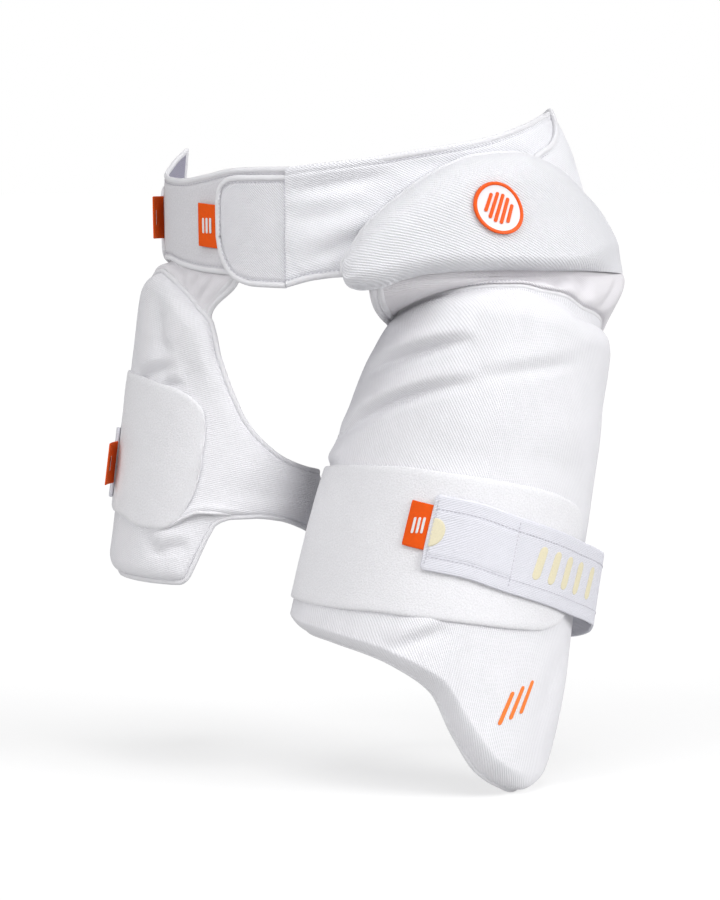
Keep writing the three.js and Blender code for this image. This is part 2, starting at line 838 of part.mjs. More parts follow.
const innerStrapPath = table("turn drop lift", [
  [-269.6, 0.78, 0],
  [-262, 0.775, 0],
  [-240, 0.76, 0],
  [-200, 0.73, 0.02],
  [-160, 0.7, 0.05],
  [-130, 0.675, 0.35],
  [-112, 0.66, 0.8],
  [-98, 0.65, 1.05],
  [-88, 0.642, 1],
  [-78, 0.636, 1],
]);

const innerStrapLift = onInnerGuard(-90) + layerGap + loopPanel.thickness;

const innerStrapSolid = () =>
  strapSolid({
    surface: rightThighPoint,
    path: innerStrapPath,
    topEdge: innerPadTop,
    length: innerPad.length,
    low: innerPad.liner,
    high: innerStrapLift,
    joined: ["start"],
  });

// Tags: each starts a seam's play from the end of the tab or strap that it is sewn to.

function tagAt({ surface, plan, last, z, way, ...options }) {
  const end = plan[last ? plan.length - 1 : 0].turn;
  const perDegree = surface(end, z, 0).distanceTo(surface(end + 1, z, 0));
  return tagSolid({ surface, turn: end + (way * 2 * seamGap) / perDegree, z, way, ...options });
}

const frontTagSolid = () =>
  tagAt({
    surface: waistPoint,
    plan: tabPlan,
    last: false,
    way: -1,
    z: -0.115 * belt.height,
    lift: tabLift,
    flare: 0.06 * tag.width,
    slant: -0.1 * tag.width,
  });

const rearTagSolid = () =>
  tagAt({
    surface: waistPoint,
    plan: rearTabPlan,
    last: true,
    way: 1,
    z: -0.05 * belt.height,
    lift: tabLift,
    flare: 0.4 * tag.width,
  });

const thighTagSolid = () =>
  tagAt({
    surface: leftThighPoint,
    plan: thighStrapPath,
    last: false,
    way: -1,
    z: thighPadTop - 0.456 * thighPad.length,
    lift: thighStrapLift,
    slant: -0.2 * tag.width,
  });

const innerTagSolid = () =>
  tagAt({
    surface: rightThighPoint,
    plan: innerStrapPath,
    last: true,
    way: 1,
    z: innerPadTop - 0.635 * innerPad.length,
    lift: innerStrapLift,
    flare: 0.53 * tag.width,
  });

// Materials

function cloth(color, roughness) {
  return new THREE.MeshStandardMaterial({ color, roughness, metalness: 0 });
}

const meshFabric = cloth(0xeceaf0, 0.9);
const loopFabric = cloth(0xdedce4, 0.97);
const elastic = cloth(0xe2e0ea, 0.8);
const knit = cloth(0xd8d6de, 0.88);
const lining = cloth(0xc9c6d2, 0.9);
const orangeWoven = cloth(0xe85a20, 0.75);
const orangeRubber = cloth(0xeb5014, 0.5);

// Assembly

const guard = new THREE.Group();

function add(name, geometry, material) {
  const mesh = new THREE.Mesh(geometry, material);
  mesh.name = name;
  guard.add(mesh);
}

add("hip_panel", hipPanelSolid(), loopFabric);
add("front_belt_tab", tabSolid(), elastic);
add("front_belt", frontBeltSolid(), meshFabric);
add("rear_belt", rearBeltSolid(), meshFabric);
add("rear_belt_tab", rearTabSolid(), elastic);
add("hip_pad", hipPadSolid(), meshFabric);
add("hip_badge", badgeSolid(), orangeRubber);
add("hip_skirt", skirtSolid(), lining);
add("gusset", gussetSolid(), lining);
add("thigh_pad", thighPadSolid(), meshFabric);
add("thigh_loop_panel", thighLoopSolid(), loopFabric);
add("thigh_strap", thighStrapSolid(), elastic);
add("inner_pad", innerGuardSolid(innerPadPlan, 7, 12, ["end"]), meshFabric);
add("inner_wing", innerGuardSolid(innerWingPlan, 7, 6, ["start", "end"]), knit);
add("inner_loop_panel", innerLoopSolid(), loopFabric);
add("inner_strap", innerStrapSolid(), elastic);
add("front_belt_tag", frontTagSolid(), orangeWoven);
add("rear_belt_tag", rearTagSolid(), orangeWoven);
add("thigh_strap_tag", thighTagSolid(), orangeWoven);
add("inner_strap_tag", innerTagSolid(), orangeWoven);

export default guard;
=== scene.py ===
"""Looks of a worn cricket thigh guard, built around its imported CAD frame.

Shapes are worked out in millimetres, in the frame of the part's own source: +X to the wearer's
left, -Y to the front, +Z up. Each piece is a surface over two parameters, the turn round a body
form and the height on it, and its mesh is made in metres.
"""

import bpy
import numpy as np
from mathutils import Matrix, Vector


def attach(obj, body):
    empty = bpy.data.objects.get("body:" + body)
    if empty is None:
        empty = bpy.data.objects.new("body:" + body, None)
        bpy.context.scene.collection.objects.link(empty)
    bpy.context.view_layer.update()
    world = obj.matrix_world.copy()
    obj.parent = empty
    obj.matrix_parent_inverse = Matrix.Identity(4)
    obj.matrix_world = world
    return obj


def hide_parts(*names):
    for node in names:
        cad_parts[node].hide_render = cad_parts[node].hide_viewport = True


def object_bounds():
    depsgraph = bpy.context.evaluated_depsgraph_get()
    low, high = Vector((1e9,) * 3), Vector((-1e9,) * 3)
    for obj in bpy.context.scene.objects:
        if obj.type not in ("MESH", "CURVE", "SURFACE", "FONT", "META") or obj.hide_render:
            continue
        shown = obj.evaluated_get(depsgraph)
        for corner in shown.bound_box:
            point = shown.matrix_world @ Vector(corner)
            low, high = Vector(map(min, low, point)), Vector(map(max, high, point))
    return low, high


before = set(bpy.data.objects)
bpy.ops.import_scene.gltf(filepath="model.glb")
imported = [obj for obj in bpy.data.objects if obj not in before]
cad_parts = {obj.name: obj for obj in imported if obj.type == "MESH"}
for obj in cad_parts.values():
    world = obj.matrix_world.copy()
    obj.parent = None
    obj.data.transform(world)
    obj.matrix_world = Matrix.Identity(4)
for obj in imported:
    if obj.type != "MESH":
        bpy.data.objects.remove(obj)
cad_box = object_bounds()

MM = 0.001
DEG = np.pi / 180

# Play between the layers, the body inside them, and the sizes of the layers
LAYER_GAP = 0.8
WAIST_WIDTH, WAIST_DEPTH = 302, 208
LEFT_THIGH_MIDDLE, LEFT_THIGH_LEAN, LEFT_THIGH_HALF = (97, -15), (-0.2275, -0.16), (85.5, 85)
RIGHT_THIGH_MIDDLE, RIGHT_THIGH_LEAN, RIGHT_THIGH_HALF = (-93.3, 27), (-0.12, -0.04), (66, 86)
BELT_HEIGHT, BELT_CLOTH, TAB_CLOTH, PANEL_CLOTH = 88, 2.4, 2.0, 2.4
HIP_HEIGHT, HIP_THICK, HIP_EDGE, HIP_BEVEL = 97, 17, 3, 24
SKIRT_DROP, SKIRT_CLOTH, SKIRT_LAP, SKIRT_FULLNESS, SKIRT_STAND = 12.3, 1.8, 8, 6, 6.5
GUSSET_DROP, GUSSET_CLOTH, GUSSET_LAP = 7.2, 1.6, 7
THIGH_LENGTH, THIGH_THICK, THIGH_EDGE, THIGH_BEVEL, THIGH_LINER = 357, 17, 3.2, 17, 3
THIGH_FLARE, THIGH_FLARE_DROP = 4, 60
INNER_LENGTH, INNER_THICK, WING_THICK = 225, 10.5, 5
INNER_EDGE, INNER_BEVEL, INNER_LINER = 2.6, 11, 2.6
LOOP_CLOTH, LOOP_SINK = 1.8, 1
STRAP_WIDTH, STRAP_THICK, STRAP_CORNER = 50, 2.2, 1.2
TAG_WIDTH, TAG_HEIGHT, TAG_THICK = 17, 30, 1.2
BADGE_DIAMETER, BADGE_THICK, BADGE_RING, BADGE_RISE = 37, 1.3, 2.1, 0.8
BADGE_TURN, BADGE_HEIGHT = 29.5, 4

# Levels, from the belt down, and lifts off the waist, from the inside out
BELT_FOOT = -BELT_HEIGHT / 2
PANEL_FOOT = -0.41 * BELT_HEIGHT
THIGH_TOP = BELT_FOOT - SKIRT_DROP
INNER_TOP = PANEL_FOOT - GUSSET_DROP
TAB_LIFT = PANEL_CLOTH + LAYER_GAP
REAR_LIFT = TAB_LIFT + BELT_CLOTH + LAYER_GAP
SKIRT_LIFT = REAR_LIFT + BELT_CLOTH / 2
HIP_LOW = TAB_LIFT + BELT_CLOTH + LAYER_GAP
HIP_HIGH = REAR_LIFT + BELT_CLOTH + LAYER_GAP
THIGH_FACE = THIGH_LINER + THIGH_THICK
THIGH_STRAP_LIFT = THIGH_FACE + 2 * LAYER_GAP + LOOP_CLOTH


# Small tools


def along(rows, x, column=1):
    """The value in a column of a table at x, on the cubic through the rows whose slope at each row
    is the harmonic mean of its neighbours' slopes, so that it never swings past them."""
    xs, ys = rows[:, 0], rows[:, column]
    slope = np.diff(ys) / np.diff(xs)
    product, total = slope[:-1] * slope[1:], slope[:-1] + slope[1:]
    middle = np.where(product > 0, 2 * product / np.where(product > 0, total, 1), 0)
    tangent = np.concatenate([slope[:1], middle, slope[-1:]])
    at = np.clip(x, xs[0], xs[-1])
    k = np.clip(np.searchsorted(xs, at) - 1, 0, len(xs) - 2)
    run = xs[k + 1] - xs[k]
    s = (at - xs[k]) / run
    rise = s * s * (3 - 2 * s)
    out = s * (1 - s) ** 2 * run * tangent[k]
    back = s * s * (1 - s) * run * tangent[k + 1]
    return ys[k] + (ys[k + 1] - ys[k]) * rise + out - back


def per_degree(half_sizes):
    """Mean length of a degree of turn on an oval, from its half width and half depth."""
    return np.pi * sum(half_sizes) / 360


def ramp(x, start, end):
    """0 before start, 1 after end and a smooth step between them."""
    s = np.clip((x - start) / (end - start), 0, 1)
    return s * s * (3 - 2 * s)


def shoulder(distance, bevel, power=2.0):
    """The round shoulder of a pad: a quarter of a superellipse from 0 at the edge to 1 at bevel."""
    s = np.clip(distance / bevel, 0, 1)
    return (1 - (1 - s) ** power) ** (1 / power)


def crowded(count, pull):
    """Shares from 0 to 1 that lie closer together at both ends: t - pull sin(2 pi t) / (2 pi)."""
    t = np.linspace(0, 1, count)
    return t - pull * np.sin(2 * np.pi * t) / (2 * np.pi)


def unit(vectors):
    """Each vector over its own length."""
    return vectors / np.maximum(np.linalg.norm(vectors, axis=-1, keepdims=True), 1e-9)


def chain_distance(x, y, chain):
    """Distance from every point (x, y) to the nearest segment of a chain of points."""
    a, b = np.float32(chain[:-1]), np.float32(chain[1:])
    flat_x, flat_y = np.float32(x).reshape(-1, 1), np.float32(y).reshape(-1, 1)
    dx, dy = b[:, 0] - a[:, 0], b[:, 1] - a[:, 1]
    px, py = flat_x - a[:, 0], flat_y - a[:, 1]
    s = np.clip((px * dx + py * dy) / np.maximum(dx * dx + dy * dy, 1e-9), 0, 1)
    nearest = np.sqrt(((px - s * dx) ** 2 + (py - s * dy) ** 2).min(axis=1))
    return nearest.reshape(x.shape).astype(float)


def ripple(x, y, length, seed):
    """Soft unevenness of hand sewn cloth: the mean of six sine waves of about one length that run
    in spread directions with fixed phases, from -1 to 1."""
    k = np.arange(6)
    angle = k * 1.05 + seed
    size = 2 * np.pi / (length * (0.8 + 0.13 * k))
    phase = np.sin(k * 12.9898 + seed * 78.233) * 43.7585
    steps = np.cos(angle) * np.expand_dims(x, -1) + np.sin(angle) * np.expand_dims(y, -1)
    return np.sin(steps * size + phase).mean(axis=-1)


# Body forms: a point from a turn in degrees (0 at the front, + to the wearer's left), a height
# and a lift off the body. Their tables: share of the height or length, and the share of the half
# width there, on the wearer's right and on the left.

WAIST_FORM = np.array([
    [-1.25, 0.993, 1.12],
    [-0.52, 1.0, 1.116],
    [0.15, 1.007, 0.976],
    [0.51, 0.993, 0.91],
    [0.85, 0.973, 0.815],
])
LEFT_THIGH_FORM = np.array([
    [0.12, 0.826, 0.775],
    [0.23, 0.884, 0.826],
    [0.33, 0.942, 0.88],
    [0.48, 0.988, 0.924],
    [0.65, 1.0, 0.97],
    [0.83, 1.035, 1.035],
    [1.04, 1.047, 1.047],
])


def oval(turn, z, x, y, half_width, half_depth):
    """x + half width sin(turn), y - half depth cos(turn), z."""
    parts = [x + half_width * np.sin(turn * DEG), y - half_depth * np.cos(turn * DEG), z]
    return np.stack(np.broadcast_arrays(*parts), axis=-1).astype(float)


def waist(turn, z, lift):
    """Oval whose two halves have a width of their own at each height."""
    share = np.where(np.sin(turn * DEG) > 0, along(WAIST_FORM, z / BELT_HEIGHT, 2),
                     along(WAIST_FORM, z / BELT_HEIGHT, 1))
    return oval(turn, z, 0, 0, WAIST_WIDTH / 2 * share + lift, WAIST_DEPTH / 2 + lift)


def left_thigh(turn, z, lift):
    """Oval that leans inwards and back on its way down and widens."""
    drop = THIGH_TOP - z
    share = np.where(np.sin(turn * DEG) > 0, along(LEFT_THIGH_FORM, drop / THIGH_LENGTH, 2),
                     along(LEFT_THIGH_FORM, drop / THIGH_LENGTH, 1))
    (x, y), (lean_x, lean_y), (half_width, half_depth) = (
        LEFT_THIGH_MIDDLE, LEFT_THIGH_LEAN, LEFT_THIGH_HALF)
    return oval(turn, z, x + lean_x * drop, y + lean_y * drop, half_width * share + lift,
                half_depth + lift)


def right_thigh(turn, z, lift):
    """Oval of one size that leans outwards and back on its way down."""
    drop = INNER_TOP - z
    (x, y), (lean_x, lean_y), (half_width, half_depth) = (
        RIGHT_THIGH_MIDDLE, RIGHT_THIGH_LEAN, RIGHT_THIGH_HALF)
    return oval(turn, z, x + lean_x * drop, y + lean_y * drop, half_width + lift,
                half_depth + lift)


# Strips on a form


class Strip:
    """A layer's plan: columns at one turn each, from a top edge down to a bottom edge. The table
    gives turn, top and bottom, as shares of a length from a level. Ends named in joined carry on
    into a neighbour."""

    def __init__(self, form, plan, level=0, length=1, corner=0, joined=()):
        self.form, self.level, self.length = form, level, length
        self.plan = np.array(plan, float)
        self.corner, self.joined = corner, joined

    def grid(self, columns, rows, pull=0.0):
        """Sets turn, height and plan arc of each point of a grid, its corners cut round."""
        first, last = self.plan[0, 0], self.plan[-1, 0]
        turn = first + (last - first) * crowded(columns, pull)
        top = self.level + self.length * along(self.plan, turn, 1)
        bottom = self.level + self.length * along(self.plan, turn, 2)
        middle = self.form(turn, (top + bottom) / 2, 0)
        arc = np.concatenate([[0], np.cumsum(np.linalg.norm(np.diff(middle, axis=0), axis=1))])
        near = np.full(columns, float(self.corner))
        if "start" not in self.joined:
            near = np.minimum(near, arc)
        if "end" not in self.joined:
            near = np.minimum(near, arc[-1] - arc)
        cut = self.corner - np.sqrt(self.corner**2 - (self.corner - near) ** 2)
        share = crowded(rows, pull)
        self.z = (top - cut)[:, None] + (bottom - top + 2 * cut)[:, None] * share
        self.turn = np.broadcast_to(turn[:, None], self.z.shape)
        self.arc = np.broadcast_to(arc[:, None], self.z.shape)
        return self

    def edge_distance(self, edges=("top", "bottom", "start", "end")):
        """Distance in the plan from each grid point to the nearest of the named edges."""
        corners = np.stack([self.arc, self.z], axis=-1)
        chains = {"top": corners[:, 0], "bottom": corners[:, -1], "start": corners[0],
                  "end": corners[-1]}
        return np.min([chain_distance(self.arc, self.z, chains[edge]) for edge in edges], axis=0)

    def rim(self, parts, lift):
        """The path along the named edges at a lift: top runs with the turn, end down, bottom back
        and start up. Gives points, way, out of the edge and off the form."""
        runs = {
            "top": (self.turn[:, 0], self.z[:, 0]),
            "end": (self.turn[-1], self.z[-1]),
            "bottom": (self.turn[::-1, -1], self.z[::-1, -1]),
            "start": (self.turn[0, ::-1], self.z[0, ::-1]),
        }
        turn = np.concatenate([runs[part][0] for part in parts])
        z = np.concatenate([runs[part][1] for part in parts])
        return path_on(self.form, turn, z, lift)


def path_on(form, turn, z, lift):
    """A path on a form as points, way along it, way across it and way off the form. The way
    across is off x along, which points out of a rim."""
    points = form(turn, z, lift(turn, z) if callable(lift) else lift)
    apart = np.concatenate([[True], np.linalg.norm(np.diff(points, axis=0), axis=1) > 0.05])
    points, turn, z = points[apart], turn[apart], z[apart]
    lifts = lift(turn, z) if callable(lift) else lift
    way = unit(np.gradient(points, axis=0))
    off = form(turn, z, lifts + 1) - points
    off = unit(off - (off * way).sum(axis=-1, keepdims=True) * way)
    return points, way, np.cross(off, way), off


# Meshes


def cloth_map(points):
    """Flat place of each grid point in metres: length along its row from the middle column, and
    length up its column from the middle row."""
    across = np.linalg.norm(np.diff(points, axis=0), axis=-1)
    down = np.linalg.norm(np.diff(points, axis=1), axis=-1)
    u = np.concatenate([np.zeros((1, points.shape[1])), np.cumsum(across, axis=0)])
    v = np.concatenate([np.zeros((points.shape[0], 1)), np.cumsum(down, axis=1)], axis=1)
    u -= u[len(u) // 2]
    v = v[:, v.shape[1] // 2, None] - v
    return np.stack([u, v], axis=-1) * MM


def mesh_object(name, points, faces, flat, materials, face_material=None, caps=()):
    """A mesh of points in millimetres, quads and end caps, with its flat map, smooth shaded."""
    mesh = bpy.data.meshes.new(name)
    mesh.from_pydata((points * MM).tolist(), [], faces.tolist() + list(caps))
    corners = np.zeros(len(mesh.loops), np.int32)
    mesh.loops.foreach_get("vertex_index", corners)
    mesh.uv_layers.new(name="cloth").data.foreach_set("uv", flat[corners].ravel())
    mesh.polygons.foreach_set("use_smooth", np.ones(len(mesh.polygons), bool))
    for material in materials:
        mesh.materials.append(material)
    if face_material is not None:
        mesh.polygons.foreach_set("material_index", face_material.astype(np.int32))
    mesh.update()
    piece = bpy.data.objects.new(name, mesh)
    bpy.context.scene.collection.objects.link(piece)
    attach(piece, "root")
    return piece


RIM_STEPS = 4


def closed_sheet(name, outer, inner, materials, flat=None):
    """Two grids of points, outer and inner, joined round their rim by half an ellipse from one
    to the other. The second material, if given, lines the inner face. The flat map is measured
    on the outer grid unless it is given."""
    m, n = outer.shape[:2]
    i, j = np.arange(m), np.arange(n)
    loop_i = np.concatenate([i, np.full(n - 1, m - 1), i[-2::-1], np.zeros(n - 2, int)])
    loop_j = np.concatenate([np.zeros(m, int), j[1:], np.full(m - 1, n - 1), j[-2:0:-1]])
    rim_out, rim_in = outer[loop_i, loop_j], inner[loop_i, loop_j]
    within_i, within_j = np.clip(loop_i, 1, m - 2), np.clip(loop_j, 1, n - 2)
    half = (rim_out - rim_in) / 2
    away = rim_out - outer[within_i, within_j]
    away -= (away * unit(half)).sum(axis=-1, keepdims=True) * unit(half)
    swell = unit(away) * np.linalg.norm(half, axis=-1, keepdims=True)
    angles = np.pi * np.arange(1, RIM_STEPS) / RIM_STEPS
    rings = [(rim_out + rim_in) / 2 + half * np.cos(a) + swell * np.sin(a) for a in angles]
    points = np.concatenate([outer.reshape(-1, 3), inner.reshape(-1, 3), *rings])

    at = np.arange(m * n).reshape(m, n)
    front = np.stack([at[:-1, :-1], at[:-1, 1:], at[1:, 1:], at[1:, :-1]], -1).reshape(-1, 4)
    back = np.stack([at[:-1, :-1], at[1:, :-1], at[1:, 1:], at[:-1, 1:]], -1).reshape(-1, 4)
    back = back + m * n
    size = len(loop_i)
    levels = [at[loop_i, loop_j]]
    levels += [2 * m * n + k * size + np.arange(size) for k in range(RIM_STEPS - 1)]
    levels.append(at[loop_i, loop_j] + m * n)
    walls = [np.stack([a, np.roll(a, -1), np.roll(b, -1), b], -1)
             for a, b in zip(levels[:-1], levels[1:])]
    faces = np.concatenate([front, back, *walls])
    flat = cloth_map(outer) if flat is None else flat
    rim_flat = flat[loop_i, loop_j]
    flats = np.concatenate([flat.reshape(-1, 2)] * 2 + [rim_flat] * (RIM_STEPS - 1))
    lined = np.zeros(len(faces))
    if len(materials) > 1:
        lined[len(front):len(front) + len(back)] = 1
    return mesh_object(name, points, faces, flats, materials, lined)


def swept(name, path, profile, materials):
    """A closed profile carried along a path: points + out x first + off x second, with a flat cap
    at each end. The flat map runs along the path and round the profile."""
    points, way, out, off = path
    profile = np.array(profile, float)
    ring = points[:, None] + out[:, None] * profile[:, :1] + off[:, None] * profile[:, 1:]
    k, p = ring.shape[:2]
    at = np.arange(k * p).reshape(k, p)
    turned = np.roll(at, -1, axis=1)
    faces = np.stack([at[:-1], at[1:], turned[1:], turned[:-1]], -1).reshape(-1, 4)
    length = np.concatenate([[0], np.cumsum(np.linalg.norm(np.diff(points, axis=0), axis=1))])
    edge = np.linalg.norm(np.diff(profile, axis=0), axis=1)
    girth = np.concatenate([[0], np.cumsum(edge)])
    flat = np.stack(np.broadcast_arrays(length[:, None], girth), -1).reshape(-1, 2) * MM
    caps = [at[0, ::-1].tolist(), at[-1].tolist()]
    return mesh_object(name, ring.reshape(-1, 3), faces, flat, materials, caps=caps)


def along_surface(name, form, turn, z, lift, flat_points, faces, materials):
    """A small flat shape laid on a form: its points, in millimetres across and up from a place
    given by turn and height, become turns and heights on the form, at a lift that may follow
    the turn."""
    lift_at = lift if callable(lift) else lambda at: lift + 0 * at
    here, beside = [form(at, z, lift_at(at)) for at in np.array([turn, turn + 1.0])]
    turns = turn + flat_points[:, 0] / np.linalg.norm(beside - here)
    points = form(turns, z + flat_points[:, 1], lift_at(turns) + flat_points[:, 2])
    return mesh_object(name, points, faces, flat_points[:, :2] * MM, materials)


def lid(ring):
    """Quads across a flat ring of an even number of points, from its one side to the other."""
    k = np.arange(len(ring) // 2 - 1)
    return np.stack([ring[k], ring[k + 1], ring[len(ring) - 2 - k], ring[len(ring) - 1 - k]], -1)


def pill(half_length, radius, rise, slant=0.0, x=0.0, y=0.0, sides=32):
    """A raised pill, upright before it is slanted: rings of points round its middle line, from
    its foot over a round edge to its flat top. Gives points and quads."""
    angle = 2 * np.pi * (np.arange(sides) + 0.5) / sides
    profile = np.array([[1.0, 0.0], [1.0, 0.6], [0.9, 0.92], [0.72, 1.0], [0.35, 1.0]])
    across = radius * np.cos(angle) * profile[:, :1]
    up = radius * np.sin(angle) * profile[:, :1] + half_length * np.sign(np.sin(angle))
    rise = np.broadcast_to(rise * profile[:, 1:], across.shape)
    turned = [across * np.cos(slant) + up * np.sin(slant) + x,
              up * np.cos(slant) - across * np.sin(slant) + y, rise]
    points = np.stack(turned, axis=-1).reshape(-1, 3)
    at = np.arange(len(points)).reshape(len(profile), sides)
    turned = np.roll(at, -1, axis=1)
    rings = np.stack([at[:-1], turned[:-1], turned[1:], at[1:]], -1).reshape(-1, 4)
    return points, np.concatenate([rings, lid(at[-1]), lid(at[0])[:, ::-1]])


def several(shapes):
    """Joins the points and quads of several shapes into one pair."""
    counts = np.cumsum([0] + [len(points) for points, _ in shapes[:-1]])
    points = np.concatenate([points for points, _ in shapes])
    return points, np.concatenate([faces + count for (_, faces), count in zip(shapes, counts)])


ROLL_SIDES = 14
STITCH_SIDES = 6
STITCH_RINGS = np.array([-1.0, -0.72, 0.0, 0.72, 1.0])


def stitches(name, paths, material, length, gap, width):
    """A seam's stitches: along each path, capsules one length plus one gap apart. A capsule's
    ring at s of its half length has radius width sqrt(1 - 0.9 s^4), flattened off the cloth."""
    angle = 2 * np.pi * np.arange(STITCH_SIDES) / STITCH_SIDES
    radius = width * np.sqrt(1 - 0.9 * STITCH_RINGS**4)
    shapes = []
    for points, way, out, off in paths:
        arc = np.concatenate([[0], np.cumsum(np.linalg.norm(np.diff(points, axis=0), axis=1))])
        middles = np.arange((length + gap) / 2, arc[-1], length + gap)
        here, run, side, up = [
            np.stack([np.interp(middles, arc, part[:, axis]) for axis in range(3)], axis=-1)
            for part in (points, way, out, off)
        ]
        shape = (here[:, None, None]
                 + run[:, None, None] * (STITCH_RINGS * length / 2)[:, None, None]
                 + side[:, None, None] * (radius[:, None] * np.cos(angle))[..., None]
                 + up[:, None, None] * (0.8 * radius[:, None] * np.sin(angle))[..., None])
        at = np.arange(shape[..., 0].size).reshape(shape.shape[:3])
        turned = np.roll(at, -1, axis=2)
        quads = np.stack([at[:, :-1], at[:, 1:], turned[:, 1:], turned[:, :-1]], -1)
        ends = np.concatenate([at[:, 0, [0, 5, 4, 3]], at[:, 0, [0, 3, 2, 1]],
                               at[:, -1, [0, 1, 2, 3]], at[:, -1, [0, 3, 4, 5]]])
        shapes.append((shape.reshape(-1, 3), np.concatenate([quads.reshape(-1, 4), ends])))
    points, faces = several(shapes)
    return mesh_object(name, points, faces, points[:, [0, 2]] * MM, [material])


def roll(half_width, half_height, inset):
    """An oval profile for a rolled edge: its middle lies inset inside the edge."""
    angle = 2 * np.pi * np.arange(ROLL_SIDES) / ROLL_SIDES
    return np.stack([half_width * np.cos(angle) - inset, half_height * np.sin(angle)], -1)


def moved(path, out):
    """The same path, moved out of the edge, or into the cloth where out is negative."""
    points, way, side, up = path
    return points + side * out, way, side, up


# Materials: colours of the cloths, then how each cloth is made

WHITE_MESH = (0.79, 0.785, 0.815, 1)
# The white mesh made lighter for the belt and hip pad: painted light where the lamp from the right
# falls on them
PAINTED_LIGHT_MESH = (0.84, 0.84, 0.875, 1)
WHITE_KNIT = (0.79, 0.77, 0.8, 1)
# The loop cloth made darker for the hip panel: painted shade on the panel's side turned away from
# the lights
SHADED_HIP_LOOP = (0.68, 0.67, 0.7, 1)
WHITE_LOOP = (0.8, 0.795, 0.82, 1)
WHITE_WEBBING = (0.74, 0.74, 0.8, 1)
# Lavender lining, darkened below its own tone: painted shade for the insides of the belt and pads
SHADED_LINING = (0.33, 0.32, 0.4, 1)
# Grey stitch thread: white thread darkened to paint the shade in the needle pits beside each stitch
SHADED_THREAD = (0.56, 0.55, 0.6, 1)
# The tabs' white mesh made darker: painted shade on the side turned away from the lights
SHADED_TAB_WHITE = (0.76, 0.755, 0.79, 1)
ORANGE = (0.88, 0.1, 0.002, 1)
ORANGE_PRINT = (0.87, 0.2, 0.025, 1)
BEIGE = (0.72, 0.66, 0.47, 1)
WHITE_THREAD = (0.86, 0.85, 0.85, 1)
WHITE_RUBBER = (0.84, 0.83, 0.85, 1)
FLOOR_GREY = (0.35, 0.35, 0.35, 1)


class Finish:
    """A material being made: each call adds a node, joins what goes into it and gives what
    comes out of it. Numbers that hold all over are set on the shader itself."""

    def __init__(self, name, roughness, sheen=0.0, **sockets):
        self.material = bpy.data.materials.new(name)
        self.material.use_nodes = True
        self.tree = self.material.node_tree
        self.shader = self.tree.nodes["Principled BSDF"]
        fixed = {"Roughness": roughness, "Sheen Weight": sheen, "Sheen Roughness": 0.5, **sockets}
        for socket, value in fixed.items():
            self.shader.inputs[socket].default_value = value

    def add(self, kind, inputs, output, **settings):
        """A new node with its settings and inputs; gives the named output."""
        node = self.tree.nodes.new("ShaderNode" + kind)
        for name, value in settings.items():
            setattr(node, name, value)
        self.feed(node, inputs)
        return node.outputs[output]

    def feed(self, node, inputs):
        """Links each input that is another node's output and sets each one that is a value."""
        for socket, value in inputs.items():
            if isinstance(value, bpy.types.NodeSocket):
                self.tree.links.new(value, node.inputs[socket])
            else:
                node.inputs[socket].default_value = value

    def cloth_place(self, degrees=0.0):
        """The piece's own flat map, turned so that X runs across lines that lie at an angle."""
        flat = self.add("UVMap", {}, "UV", uv_map="cloth")
        return self.add("Mapping", {"Vector": flat, "Rotation": (0, 0, -(90 + degrees) * DEG)},
                        "Vector")

    def bands(self, place, pitch, uneven=0.0, detail=0.0):
        """Sine bands across X, one for each pitch in millimetres."""
        scale = 2 * np.pi / (20 * pitch * MM)
        inputs = {"Vector": place, "Scale": scale, "Distortion": uneven, "Detail": detail}
        return self.add("TexWave", inputs, "Fac", wave_type="BANDS", bands_direction="X")

    def cross_bands(self, place, pitch):
        """Even sine bands across Y."""
        scale = 2 * np.pi / (20 * pitch * MM)
        return self.add("TexWave", {"Vector": place, "Scale": scale}, "Fac",
                        wave_type="BANDS", bands_direction="Y")

    def specks(self, place, size, detail=2.0):
        """Noise with grains of about a size in millimetres."""
        return self.add("TexNoise", {"Vector": place, "Scale": 1 / (size * MM), "Detail": detail},
                        "Fac")

    def blend(self, share, low, high):
        """The colour between two others at a share."""
        return self.add("Mix", {0: share, 6: low, 7: high}, 2, data_type="RGBA")

    def math(self, how, a, b):
        """Two values joined by one operation."""
        return self.add("Math", {0: a, 1: b}, 0, operation=how)

    def level(self, value, low, high, to_low, to_high):
        """A value stretched from one range to another."""
        inputs = {"Value": value, "From Min": low, "From Max": high, "To Min": to_low,
                  "To Max": to_high}
        return self.add("MapRange", inputs, "Result")

    def done(self, colour, height, depth, roughness=None):
        """Joins colour, height over a depth in millimetres and roughness to the shader."""
        bump = self.add("Bump", {"Height": height, "Distance": depth * MM, "Strength": 1.0},
                        "Normal")
        self.feed(self.shader, {"Base Color": colour, "Normal": bump})
        if roughness is not None:
            self.feed(self.shader, {"Roughness": roughness})
        return self.material


def shade(colour, share):
    """A colour darkened to a share of itself."""
    return (colour[0] * share, colour[1] * share, colour[2] * share, 1)


def ribbed_mesh(name, degrees, pitch, depth, hollow=0.86, colour=WHITE_MESH):
    """Mesh cloth: sine ribs at an angle, broken into beads by bands across them."""
    cloth = Finish(name, roughness=0.82, sheen=0.15)
    place = cloth.cloth_place(degrees)
    rib = cloth.bands(place, pitch, uneven=0.6, detail=1.0)
    bead = cloth.cross_bands(place, pitch * 0.62)
    open_work = cloth.math("MULTIPLY", rib, cloth.level(bead, 0, 1, 0.55, 1))
    fuzz = cloth.specks(place, 0.5)
    height = cloth.math("ADD", open_work, cloth.level(fuzz, 0, 1, 0, 0.35))
    mottle = cloth.level(cloth.specks(place, 14), 0.3, 0.7, 0.0, 1)
    dark = cloth.blend(mottle, shade(colour, hollow), shade(colour, hollow + 0.04))
    tone = cloth.blend(open_work, dark, colour)
    return cloth.done(tone, height, depth, cloth.level(open_work, 0, 1, 0.92, 0.72))


